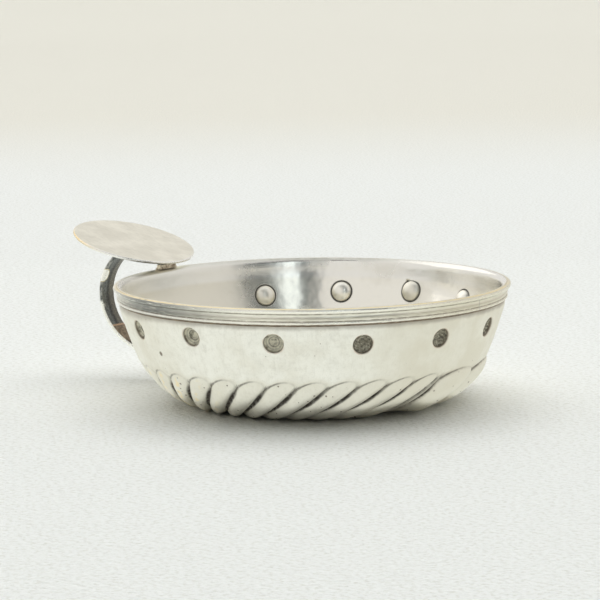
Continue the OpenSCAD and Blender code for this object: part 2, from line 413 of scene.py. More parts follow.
class Surface:
    """The node tree of one material: the places that its patterns lie by, and the colour laid so far."""

    CLOUD_ROUGH = 0.55
    LEAST_SPECK = 0.4
    SPECK_CORE = 0.55

    def __init__(self, name: str, colour: Colour) -> None:
        """Starts a material whose patterns lie on the piece in mm.

        Args:
            name: The material's name.
            colour: The colour that the others are laid over.
        """
        self.material = bpy.data.materials.new(name)
        self.material.use_nodes = True
        self.tree = self.material.node_tree
        self.shader = self.tree.nodes["Principled BSDF"]
        self.colour: Field | Colour = colour
        self.place = Field(add_node(self.tree, "ShaderNodeTexCoord").outputs["Object"]).scaled((1 / MM,) * 3)
        self.x, self.y, self.z = parts_of(self.place)
        self.radius = slant(self.x, self.y)
        self.turn = compute("ARCTAN2", self.y, self.x) * (180 / math.pi)

    def read(self, name: str) -> Field:
        """A number stored on the piece."""
        return Field(add_node(self.tree, "ShaderNodeAttribute", attribute_name=name).outputs["Fac"])

    def cloud(self, grain: float, detail: float = 3.0, place: Field | None = None) -> Field:
        """Cloudy noise.

        Args:
            grain: Size of a cloud, in the units of the place.
            detail: How many finer layers it has.
            place: Where it is laid, or the piece's own place.

        Returns:
            A number about 0.5, from 0 to 1.
        """
        return made_by("ShaderNodeTexNoise", {
            "Vector": place or self.place, "Scale": 1 / grain, "Detail": detail,
            "Roughness": self.CLOUD_ROUGH})

    def specks(self, spacing: float, size: float, share: float) -> Field:
        """Scattered round specks.

        Args:
            spacing: Distance between the places that a speck can have, in mm.
            size: Radius of a large speck, in mm.
            share: Share of the places that hold one.

        Returns:
            1 in a speck, and 0 elsewhere.
        """
        cells = add_node(self.tree, "ShaderNodeTexVoronoi", {"Vector": self.place, "Scale": 1 / spacing})
        split = add_node(self.tree, "ShaderNodeSeparateColor", {0: Field(cells.outputs["Color"])})
        chosen = Field(split.outputs[0]).over(1 - share)
        least = self.LEAST_SPECK
        reach = (Field(split.outputs[1]) * (1 - least) + least) * (size / spacing)
        return chosen * Field(cells.outputs["Distance"]).fall(reach * self.SPECK_CORE, reach)

    def coat(self, share: Number, colour: "Field | Colour") -> None:
        """Lays a colour over those below it, as thickly as a share from 0 to 1 says."""
        self.colour = tint(share, self.colour, colour)

    def bump(self, height: Field, depth: float) -> None:
        """Raises the surface by a height from 0 to 1, where 1 stands for a depth in mm."""
        node = add_node(self.tree, "ShaderNodeBump", {"Distance": depth * MM, "Height": height})
        plug(Field(node.outputs[0]), self.shader.inputs["Normal"])

    def paint(self, rough: Number, metal: Number) -> bpy.types.Material:
        """Plugs the shader.

        Args:
            rough: The roughness.
            metal: How metallic it is.

        Returns:
            The material.
        """
        for name, value in (("Base Color", self.colour), ("Roughness", rough), ("Metallic", metal)):
            plug(value, self.shader.inputs[name])
        return self.material


@dataclass(frozen=True)
class Metals:
    """Colours of the metals, of what has settled on them, and of the shade and dark reflections painted on
    them.
    """

    bright_silver: Colour = (0.95, 0.94, 0.895)
    silver: Colour = (0.985, 0.975, 0.905)
    warm_silver: Colour = (0.81, 0.775, 0.665)
    dull_silver: Colour = (0.68, 0.66, 0.585)
    brass: Colour = (0.86, 0.67, 0.33)
    old_brass: Colour = (0.97, 0.83, 0.50)
    worn_lip: Colour = (0.58, 0.57, 0.51)
    copper: Colour = (0.62, 0.40, 0.25)
    tarnish_and_shade: Colour = (0.055, 0.045, 0.034)
    brown: Colour = (0.20, 0.145, 0.095)
    flux: Colour = (0.36, 0.28, 0.20)
    worn_solder: Colour = (0.97, 0.89, 0.75)
    dirt: Colour = (0.30, 0.27, 0.21)
    slate: Colour = (0.28, 0.285, 0.265)
    soot_and_shade: Colour = (0.018, 0.016, 0.013)


METALS = Metals()


@dataclass(frozen=True)
class SatinPlate:
    """Worn plate on the outside of the bowl: satin silver, dark in the chasing with tarnish and painted
    shade, with pits and stains.
    """

    rough: float = 0.5
    metal: float = 0.85
    relief: float = 0.06
    groove_half: float = 0.24
    solder_z: float = 20.6
    smear_turn: float = -118.0
    smear_reach: float = 24.0
    worn_turn: float = -110.0
    worn_reach: float = 30.0
    aged_left: Span = (-112.0, -84.0)
    aged_right: Span = (-48.0, -16.0)
    pit_dark: Colour = (0.19, 0.17, 0.115)
    pit_light: Colour = (0.78, 0.75, 0.61)
    clean_pits: Span = (-58.0, -42.0)
    turned_pits: Span = (-70.0, -46.0)
    blemish_turn: float = -105.0
    blemish_z: float = 13.1
    blemish_r: Span = (0.3, 0.58)
    degree_mm: float = 0.64

    def lay_silver(self, s: Surface, cloud: Field, dulling: Sequence[Field]) -> None:
        """Lays the silver, dulled in patches and yellowed by old polish towards both sides.

        Args:
            s: The surface.
            cloud: Broad clouds.
            dulling: Where it is dull, pattern by pattern.
        """
        s.coat(cloud.rise(0.40, 0.72) * 0.4, METALS.warm_silver)
        for share in dulling:
            s.coat(share, METALS.dull_silver)
        aged = (s.turn.rise(*self.aged_right) * 0.9).at_least(s.turn.fall(*self.aged_left) * 0.5)
        s.coat(aged * (0.75 + 0.5 * cloud.rise(0.35, 0.65)), METALS.warm_silver)
        s.coat(s.read("chased") * s.read("lobe").fall(1.0, 2.0) * 0.5, METALS.warm_silver)

    def lay_tarnish_and_shade(self, s: Surface, fine: Field) -> Field:
        """Lays tarnish and painted shade deep in the grooves, thinner round the tops of the tongues, and
        painted contact shade with tarnish along the base.

        Args:
            s: The surface.
            fine: Fine clouds.

        Returns:
            How black the grooves are.
        """
        lobe, chased, across, share, broad = (
            s.read(name) for name in ("lobe", "chased", "across", "share", "broad"))
        outside, gap = lobe.over(1.0), abs(lobe - 1.0)
        width = self.groove_half * (0.25 + 1.5 * share.near(0.74, 0.5)) * (0.6 + 0.8 * s.cloud(2.2))
        width = width * (1.0 - 0.6 * broad)
        weight = 1.0 - share.rise(0.72, 0.88) * (0.92 - 0.5 * across.fall(-0.8, 0.3))
        line = gap.fall(width * 0.15, width) * chased * weight * (1.0 - outside * 0.45)
        nick = abs(across).rise(0.86, 0.98) * lobe.fall(1.04, 1.4) * outside * chased
        line = line.at_least(nick * 0.8)
        # Tarnish and painted shade in the grooves: a brown haze and a black line along them
        haze = gap.fall(0.02, 0.27) * chased * fine.rise(0.2, 0.7) * weight
        s.coat(haze * 0.55, METALS.brown)
        s.coat(line * (0.7 + 0.3 * fine.rise(0.3, 0.6)), METALS.tarnish_and_shade)
        # Painted contact shade, with tarnish, in a dark band along the base
        s.coat(s.z.fall(0.05, 0.5) * 0.92, METALS.tarnish_and_shade)
        return line

    def lay_wear(self, s: Surface) -> Field:
        """Rubs crests on one side through to the brass, and stains the wall below the moulding.

        Args:
            s: The surface.

        Returns:
            How strong the stain is.
        """
        rubbed = abs(s.read("across")).fall(0.05, 0.36) * s.read("lobe").fall(0.3, 0.9) * s.read("chased")
        rubbed = rubbed * s.cloud(1.6, 2.0, s.place.scaled((1, 1, 0.45))).rise(0.46, 0.56)
        s.coat(rubbed * s.turn.angle_from(self.worn_turn).near(0.0, self.worn_reach) * 0.85, METALS.old_brass)
        below = self.solder_z - s.z
        smear = s.turn.near(self.smear_turn, self.smear_reach)
        stain = (below + (s.cloud(3.0) - 0.5) * 0.7).fall(0.1, 1.1 + 0.9 * smear) * below.rise(-0.3, 0.0)
        s.coat(stain * 0.42, METALS.brown)
        return stain

    def lay_pits(self, s: Surface, mottle: Field) -> Field:
        """Lays old polish on the pits' floors, in rings or crumbs, and copper on their walls.

        Args:
            s: The surface.
            mottle: Clouds of the size of a pit.

        Returns:
            1 on the floor of a pit, and 0 elsewhere.
        """
        pit, crumbs = s.read("pit"), s.cloud(0.42)
        floor = pit.fall(0.93, 1.01)
        turned = s.turn.fall(*self.turned_pits)
        clean = mottle.rise(0.3, 0.58) * (1.0 - 0.7 * s.turn.rise(*self.clean_pits))
        polish = tint(clean, self.pit_dark, self.pit_light)
        for share, colour in (
                (pit.near(0.50, 0.09) * 0.7 * turned, METALS.tarnish_and_shade),
                (pit.near(0.74, 0.08) * 0.4 * turned, METALS.tarnish_and_shade),
                (crumbs.rise(0.5, 0.6) * 0.75 * (1.0 - turned), METALS.tarnish_and_shade),
                (crumbs.fall(0.34, 0.44) * 0.8 * (1.0 - turned), self.pit_light),
                (pit.near(0.95, 0.07) * 0.8, METALS.brown)):
            polish = tint(share, polish, colour)
        s.coat(floor * 0.95, polish)
        s.coat(pit.near(1.02, 0.05) * mottle.rise(0.3, 0.7) * 0.7, METALS.copper)
        return floor

    def lay_specks(self, s: Surface, cloud: Field, floor: Field) -> Field:
        """Lays specks of corrosion, and a deep one on the side near the handle.

        Args:
            s: The surface.
            cloud: Broad clouds.
            floor: 1 on the floor of a pit.

        Returns:
            1 in a speck, and 0 elsewhere.
        """
        blemish = slant((s.turn - self.blemish_turn) * self.degree_mm, s.z - self.blemish_z)
        specks = s.specks(1.3, 0.14, 0.20).at_least(s.specks(4.3, 0.24, 0.42)) * (1.0 - floor)
        specks = specks.at_least(s.specks(1.5, 0.33, 0.5) * s.read("chased") * s.read("lobe").fall(0.5, 0.9))
        specks = specks.at_least(s.specks(0.6, 0.075, 0.22) * cloud.rise(0.42, 0.6))
        specks = specks.at_least(blemish.fall(*self.blemish_r))
        s.coat(specks * 0.8, METALS.brown)
        return specks

    def material(self) -> bpy.types.Material:
        """Makes the material.

        Returns:
            The material.
        """
        s = Surface("satin_silver_plate", METALS.silver)
        cloud, fine, tiny, mottle = s.cloud(7.0, 4.0), s.cloud(0.9, 5.0), s.cloud(0.22), s.cloud(1.1, 4.0)
        brushed = s.cloud(0.35, place=joined(s.turn * 0.67, s.z * 0.12, s.radius * 0.12))
        self.lay_silver(s, cloud, (s.cloud(2.4).rise(0.42, 0.7) * 0.15, tiny.rise(0.5, 0.75) * 0.25,
                                   fine.rise(0.45, 0.8) * 0.32, brushed.rise(0.5, 0.8) * 0.24))
        line, stain, floor = self.lay_tarnish_and_shade(s, fine), self.lay_wear(s), self.lay_pits(s, mottle)
        specks = self.lay_specks(s, cloud, floor)
        grime = line.at_least(floor * 0.85).at_least(specks * 0.8).at_least(stain * 0.5)
        height = tiny * 0.25 + fine * 0.35 + cloud * 0.8 + brushed * 0.2 - specks * 0.9 + mottle * floor * 1.6
        s.bump(height, self.relief)
        return s.paint(self.rough + (fine - 0.5) * 0.2 + grime * 0.25, self.metal * (1.0 - grime * 0.8))


@dataclass(frozen=True)
class PolishedPlate:
    """Polished plate inside the bowl: mirror bright, clouded in patches, dark round the domes with tarnish
    and painted shade.
    """

    lip_z: float
    rough: float = 0.18
    relief: float = 0.10
    clear: Colour = (0.975, 0.95, 0.865)
    clouded: Colour = (0.77, 0.735, 0.625)
    clear_turn: float = 68.0
    clear_reach: float = 48.0
    handle_side: Span = (125.0, 165.0)
    far_reach: float = 62.0
    brass_side: Span = (60.0, 95.0)

    def material(self) -> bpy.types.Material:
        """Makes the material.

        Returns:
            The material.
        """
        s = Surface("polished_silver_plate", self.clear)
        pit, fine, down = s.read("pit"), s.cloud(1.1, 4.0), self.lip_z - s.z
        dull = s.cloud(11.0).rise(0.50, 0.66) * (1.0 - 0.85 * s.turn.near(self.clear_turn, self.clear_reach))
        dull = dull.at_least(abs(s.turn).rise(*self.handle_side) * 0.85)
        s.coat(dull * 0.8, self.clouded)
        s.coat(down.fall(3.6, 4.6) * 0.7, METALS.bright_silver)
        s.coat(fine.rise(0.55, 0.85) * 0.2, METALS.dull_silver)
        ring, dome, specks = pit.near(1.05, 0.15), pit.fall(0.85, 1.0), s.specks(2.6, 0.16, 0.16)
        # Tarnish and painted shade in the trench round each dome
        s.coat(ring * 0.95, METALS.soot_and_shade)
        s.coat(specks * 0.6, METALS.brown)
        # The lip is worn grey on the far side, and to the brass along its edge on the near side
        lip = down.fall(0.15, 0.7) * s.turn.angle_from(FRONT_TURN + 180.0).near(0.0, self.far_reach)
        s.coat(lip * (0.75 + 0.25 * s.cloud(1.6).rise(0.4, 0.6)), METALS.worn_lip)
        edge = down.fall(0.04, 0.16) * s.cloud(3.0).rise(0.36, 0.5)
        s.coat(edge * abs(s.turn - FRONT_TURN).fall(*self.brass_side) * 0.85, METALS.old_brass)
        scratches = s.cloud(0.5, 4.0, joined(s.turn * 0.05, s.z, s.radius))
        s.bump(s.cloud(5.0, 2.0) * 0.9 + scratches * 0.08 - specks * 0.3, self.relief)
        rough = self.rough + dull * 0.16 + (fine - 0.5) * 0.08 + ring * 0.5 + lip * 0.25 + dome * 0.12
        return s.paint(rough, 1.0 - ring * 0.8)


@dataclass(frozen=True)
class DrawnWire:
    """Drawn moulding: painted highlights on its beads, olive grey and streaked between them, painted shade
    and dirt in its hollows, brass along the lip.
    """

    lip_z: float
    rough: float = 0.36
    relief: float = 0.05
    seam_turn: float = 3.6
    seam_half: float = 0.22
    dark_turn: float = -104.0
    dark_reach: float = 38.0
    aged_from: Span = (-38.0, -5.0)
    aged_to: Span = (40.0, 70.0)
    brass_side: Span = (62.0, 100.0)
    bead_highlight: Colour = (0.96, 0.94, 0.85)
    band_dark: Colour = (0.80, 0.78, 0.675)
    band_light: Colour = (0.95, 0.925, 0.82)
    aged: Colour = (0.76, 0.72, 0.58)

    def material(self, wire: "Moulding") -> bpy.types.Material:
        """Makes the material.

        Args:
            wire: The moulding that wears it.

        Returns:
            The material.
        """
        s = Surface("drawn_silver_wire", self.band_dark)
        down, patches = self.lip_z - s.z, s.cloud(3.5)
        streaks = s.cloud(0.22, 5.0, joined(s.turn * 0.06, s.z, s.radius))
        low_bead = down.near(wire.low_bead_drop - 0.02, 0.33)
        painted_bead_highlight = down.near(wire.lip_bead_drop + 0.1, 0.75).at_least(low_bead)
        s.coat(streaks.rise(0.36, 0.56), self.band_light)
        s.coat(patches.rise(0.45, 0.7) * 0.15, METALS.dirt)
        # Painted highlights along both beads
        s.coat(painted_bead_highlight, self.bead_highlight)
        s.coat(s.turn.rise(*self.aged_from) * s.turn.fall(*self.aged_to) * 0.8, self.aged)
        dark = s.turn.near(self.dark_turn, self.dark_reach) * (1.0 - 0.8 * low_bead)
        s.coat(dark * streaks.rise(0.2, 0.5), METALS.slate)
        # Painted shade with dirt in the hollows beside the beads and along the wire's lower edge, brass along
        # the lip, and the seam where the wire's ends meet
        hollow = down.near(wire.lip_bead_drop + wire.lip_bead_r + 0.05, 0.22)
        hollow = hollow.at_least(down.near(wire.low_bead_drop - wire.low_bead_r - 0.05, 0.2) * 0.8)
        hollow = hollow.at_least(down.rise(wire.height - 0.22, wire.height - 0.02))
        hollow = hollow * s.cloud(1.2, 4.0).rise(0.25, 0.6)
        s.coat(hollow * 0.8, METALS.brown)
        worn = down.fall(0.1, 0.24) * s.cloud(3.0).rise(0.3, 0.46)
        s.coat(worn * abs(s.turn - FRONT_TURN).fall(*self.brass_side) * 0.9, METALS.old_brass)
        seam = s.turn.angle_from(self.seam_turn).near(0.0, self.seam_half) * down.rise(0.7, 1.0)
        s.coat(seam * 0.4, METALS.tarnish_and_shade)
        s.bump(streaks * 0.6 + patches * 0.4, self.relief)
        rough = self.rough + (streaks - 0.5) * 0.3 - painted_bead_highlight * 0.1 + hollow * 0.25
        return s.paint(rough, 1.0 - (hollow * 0.6).at_least(seam * 0.6))


@dataclass(frozen=True)
class StrapWithTarnishAndPaintedReflection:
    """Strap of the ring: polished, dark on its inner face with tarnish and a painted dark reflection, bright
    along its edges.
    """

    rough: float = 0.2
    relief: float = 0.09
    dark: Colour = (0.022, 0.022, 0.018)
    blue_grey: Colour = (0.115, 0.122, 0.118)
    olive: Colour = (0.125, 0.115, 0.09)
    darker_side_z: Span = (15.4, 16.2)
    light_patch_z: float = 21.5
    light_patch_half: float = 1.35
    light_patch_across: float = 0.62
    glint_z: float = 15.0
    foot_z: float = 10.7
    soot_z: Span = (7.4, 8.2)

    def material(self, ring: "FingerRing") -> bpy.types.Material:
        """Makes the material.

        Args:
            ring: The ring that wears it.

        Returns:
            The material.
        """
        s = Surface("strap_tarnish_and_painted_reflection", METALS.silver)
        middle = ring.oval(0.0) * 0.5 + ring.oval(math.pi) * 0.5
        level = (s.x - middle.x) / (ring.oval(0.0).x - middle.x)
        upright = (s.z - middle.z) / (ring.oval(math.pi / 2).z - middle.z)
        out = level * level + upright * upright
        across, fine = s.read("across"), s.cloud(0.7, 4.0)
        inward, side = out.fall(0.97, 1.01), abs(across).rise(0.9, 0.97)
        inner_face = inward * (1.0 - side)
        s.coat(fine.rise(0.45, 0.8) * 0.4, METALS.warm_silver)
        # The inner face, tarnish and a painted dark reflection: blue grey on one side, olive on the other,
        # black along the middle
        wander = across + (s.cloud(3.2, 2.0) - 0.5) * 0.5
        face = tint(wander.rise(-0.2, 0.3), self.blue_grey, self.olive)
        s.coat(inner_face * 0.96, tint(wander.near(-0.05, 0.42) * 0.97, face, self.dark))
        # The near side is darker too, but for a light oval patch with a brass ring, and the lower third
        darker_side = side * out.fall(1.0, 1.08) * s.z.rise(*self.darker_side_z)
        s.coat(darker_side * (0.72 + 0.28 * fine.rise(0.4, 0.6)), self.blue_grey)
        high, aside = (s.z - self.light_patch_z) / self.light_patch_half, (across + 1.0) / self.light_patch_across
        patch = high * high + aside * aside
        s.coat(patch.near(1.0, 0.3) * 0.6, METALS.old_brass)
        s.coat(patch.fall(0.82, 1.0), METALS.silver)
        # A painted highlight: a small glint on the near edge
        s.coat(s.z.near(self.glint_z, 0.5) * across.near(-0.85, 0.2), METALS.bright_silver)
        # Brown flux at the foot, with a coppery line over it
        foot = s.z.fall(self.foot_z - 0.2, self.foot_z + 0.2) * inner_face
        flux = tint(fine.rise(0.42, 0.66), METALS.brown, METALS.flux)
        s.coat(foot * 0.95, tint(s.z.fall(*self.soot_z), flux, METALS.soot_and_shade))
        s.coat(s.z.near(self.foot_z + 0.15, 0.28) * inner_face * 0.75, METALS.copper)
        s.bump(s.cloud(2.6, 2.0) * 0.8 + fine * 0.15, self.relief)
        rough = self.rough + fine * 0.16 + foot * 0.3 + darker_side * 0.15
        return s.paint(rough, 1.0 - (foot * 0.7).at_least(inward * 0.35))


@dataclass(frozen=True)
class RubbedPlate:
    """Thumb rest: satin grey silver with faint rubbing, a bright edge, brass on the outer side."""

    rough: float = 0.38
    relief: float = 0.05
    dark: Colour = (0.85, 0.82, 0.71)
    light: Colour = (0.98, 0.95, 0.835)
    brass_turn: float = -122.0
    brass_reach: float = 52.0
    shade_turn: float = -36.0
    shade_reach: float = 30.0
    stain_turn: float = 126.0
    stain_reach: float = 6.0

    def material(self) -> bpy.types.Material:
        """Makes the material.

        Returns:
            The material.
        """
        s = Surface("rubbed_silver_plate", self.dark)
        edge, turn, cloud = s.read("edge"), s.read("turn"), s.cloud(5.0, 4.0)
        rubbing = s.cloud(0.5, 5.0, s.place.scaled((0.25, 1, 1)))
        s.coat(cloud.rise(0.35, 0.7), self.light)
        s.coat(rubbing.rise(0.45, 0.8) * 0.4, METALS.dull_silver)
        rim = edge.rise(0.06, 0.2) * edge.fall(0.75, 0.95)
        s.coat(rim, METALS.bright_silver)
        worn = rim * turn.near(self.brass_turn, self.brass_reach) * s.cloud(1.5).rise(0.28, 0.45)
        s.coat(worn * 0.85, METALS.brass)
        shaded = edge.rise(0.4, 0.55) * edge.fall(0.9, 1.1) * turn.near(self.shade_turn, self.shade_reach)
        s.coat(shaded * 0.9, METALS.tarnish_and_shade)
        stain = edge.rise(0.05, 0.12) * edge.fall(0.2, 0.4) * turn.near(self.stain_turn, self.stain_reach)
        s.coat(stain * 0.8, METALS.slate)
        s.coat(s.specks(2.2, 0.17, 0.14) * 0.5, METALS.brown)
        s.bump(rubbing * 0.4 + cloud * 0.7, self.relief)
        return s.paint(self.rough + (rubbing - 0.5) * 0.25 - rim * 0.12, 1.0)


@dataclass(frozen=True)
class DullSolder:
    """Solder: lumpy, brown and coppery with grey lights."""

    name: str
    low: Colour
    high: Colour
    lights: float
    rough: float = 0.5
    metal: float = 0.55
    relief: float = 0.12

    def material(self) -> bpy.types.Material:
        """Makes the material.

        Returns:
            The material.
        """
        s = Surface(self.name, self.low)
        patches = s.cloud(1.1, 4.0)
        s.coat(patches.rise(0.35, 0.65), self.high)
        s.coat(s.cloud(0.6).rise(0.58, 0.72) * self.lights, METALS.dull_silver)
        s.bump(patches, self.relief)
        return s.paint(self.rough + (patches - 0.5) * 0.3, self.metal + patches.rise(0.4, 0.7) * 0.3)


# Bowl


class Side(Enum):
    """The two faces of the bowl's sheet."""

    OUTSIDE = 0
    INSIDE = 1


@dataclass(frozen=True)
class BowlForm:
    """Sizes of the bowl, and the profile that they give: a corner arc, a wall arc and a straight collar."""

    lip_r: float
    height: float
    base_r: float = 20.5
    shoulder_lean: float = 22.0
    neck_lean: float = 16.0
    collar_h: float = 4.6
    collar_lean: float = 5.0
    sheet: float = 0.9
    dome_r: float = 13.9
    dome_h: float = 2.6
    dome_swell: float = 1.25
    halvings: int = 40

    @cached_property
    def neck(self) -> Span:
        """Radius and height of the profile where the collar starts."""
        inset = self.collar_h * math.tan(math.radians(self.collar_lean))
        return self.lip_r - inset, self.height - self.collar_h

    @cached_property
    def arcs(self) -> Span:
        """Radii of the corner arc and of the wall arc, which together reach from the base to the neck.

        Returns:
            The two radii.
        """
        low, high = (math.radians(90 - lean) for lean in (self.shoulder_lean, self.neck_lean))
        flare = (math.sin(low), math.sin(high) - math.sin(low))
        climb = (1 - math.cos(low), math.cos(low) - math.cos(high))
        across, up = self.neck[0] - self.base_r, self.neck[1]
        det = flare[0] * climb[1] - flare[1] * climb[0]
        return (across * climb[1] - flare[1] * up) / det, (flare[0] * up - climb[0] * across) / det

    @cached_property
    def corner_len(self) -> float:
        """Length along the profile at the end of the corner arc."""
        return self.arcs[0] * math.radians(90 - self.shoulder_lean)

    @cached_property
    def neck_len(self) -> float:
        """Length along the profile at the neck."""
        return self.corner_len + self.arcs[1] * math.radians(self.shoulder_lean - self.neck_lean)

    @cached_property
    def full_len(self) -> float:
        """Length along the profile at the lip."""
        return self.neck_len + self.collar_h / math.cos(math.radians(self.collar_lean))

    def turn_at(self, along: float) -> float:
        """Turn of the profile from level.

        Args:
            along: Length along the profile from the edge of the base, less than 0 under the floor.

        Returns:
            The turn, in radians.
        """
        if along < 0:
            return 0.0
        if along < self.corner_len:
            return along / self.arcs[0]
        if along < self.neck_len:
            return math.radians(90 - self.shoulder_lean) + (along - self.corner_len) / self.arcs[1]
        return math.radians(90 - self.collar_lean)

    def point_at(self, along: float, out: float = 0.0) -> Span:
        """A point of the profile.

        Args:
            along: Length along the profile from the edge of the base, less than 0 under the floor.
            out: Distance out of the profile.

        Returns:
            Radius and height.
        """
        turn = self.turn_at(along)
        corner, wall = self.arcs
        high = math.radians(90 - self.neck_lean)
        if along < 0:
            r = self.base_r + along
            share = max(0.0, 1 - (r / self.dome_r) ** 2)
            return r, self.dome_h * share ** self.dome_swell - out
        if along < self.corner_len:
            r, z = self.base_r + corner * math.sin(turn), corner - corner * math.cos(turn)
        elif along < self.neck_len:
            r = self.neck[0] + wall * (math.sin(turn) - math.sin(high))
            z = self.neck[1] + wall * (math.cos(high) - math.cos(turn))
        else:
            r = self.neck[0] + (along - self.neck_len) * math.cos(turn)
            z = self.neck[1] + (along - self.neck_len) * math.sin(turn)
        return r + out * math.sin(turn), z - out * math.cos(turn)

    def length_at(self, height: float) -> float:
        """Finds a height on the profile, by halving.

        Args:
            height: The height.

        Returns:
            Length along the profile.
        """
        low, high = 0.0, self.full_len
        for _ in range(self.halvings):
            middle = (low + high) / 2
            low, high = (middle, high) if self.point_at(middle)[1] < height else (low, middle)
        return low


@dataclass(frozen=True)
class Chasing:
    """Sizes of the gadroons and of the punched dimples, and how far each dimple strays from its place.

    The spans are shares of a gadroon's length, over which one of its forms starts or ends. A step of a pit
    has the two shares of the pit's radius that its wall lies between, and its share of the depth. The trench
    round a dome has its place and its half width as shares of the dome's radius, and its depth.
    """

    fine_count: int = 17
    broad_count: int = 9
    fine_span: float = 169.5
    top_h: float = 9.3
    lean: float = 0.95
    curl: float = 0.033
    broad_twist: float = 0.5
    start_turn: float = 185.0
    crest: float = 0.4
    broad_crest: float = 0.9
    groove: float = 0.9
    tongue: float = 3.1
    valley: float = 0.11
    roundness: float = 0.55
    valley_from: Span = (0.1, 0.4)
    valley_to: Span = (0.55, 1.0)
    groove_from: Span = (0.0, 0.2)
    crest_from: Span = (0.06, 0.26)
    crest_to: Span = (0.3, 0.75)
    broad_from: Span = (0.2, 0.4)
    chased_from: Span = (0.0, 0.12)
    chased_to: Span = (1.0, 1.3)
    plain_share: float = 0.75
    panel_half: float = 6.6
    panel_blend: float = 4.0
    places: int = 14
    gap: int = 2
    first_turn: float = 181.8
    drop: float = 2.3
    pit_r: float = 2.05
    pit_depth: float = 1.15
    pit_steps: tuple[tuple[float, float, float], ...] = (
        (0.86, 1.0, 0.58), (0.48, 0.88, 0.26), (0.40, 0.46, 0.16))
    dome_r: float = 2.2
    dome_rise: float = 1.2
    dome_round: float = 0.62
    dome_trench: tuple[float, float, float] = (1.03, 0.08, 0.12)
    strays: tuple[Span, ...] = (
        (0.0, 0.0), (-0.5, 0.0), (-0.9, 0.45), (-0.5, 0.0), (-0.5, -0.45), (-0.4, -0.65),
        (-1.6, -0.5), (0.0, 0.0), (4.0, -0.4), (1.8, 0.2), (0.8, -0.55), (0.8, -1.1))


@dataclass(frozen=True)
class Column:
    """A line of points up the wall.

    Its angle at the gadroons' tops, its place across its gadroon from -1 to 1, the share that it takes of the
    gadroons' lean, and whether it lies on a broad gadroon or on the plain strip beside the first broad one.
    """

    turn: float
    across: float = 0.0
    twist: float = 1.0
    broad: float = 0.0
    plain: float = 0.0


@dataclass(frozen=True)
class BowlPoint:
    """One point of the bowl before it is chased."""

    along: float
    column: Column
    side: Side
    inset: float = 0.0


@dataclass(frozen=True)
class Dimple:
    """One dimple on one side of the sheet: its middle, and the rows and columns of faces that it takes."""

    turn: float
    along: float
    side: Side
    low: int
    high: int
    left: int
    right: int


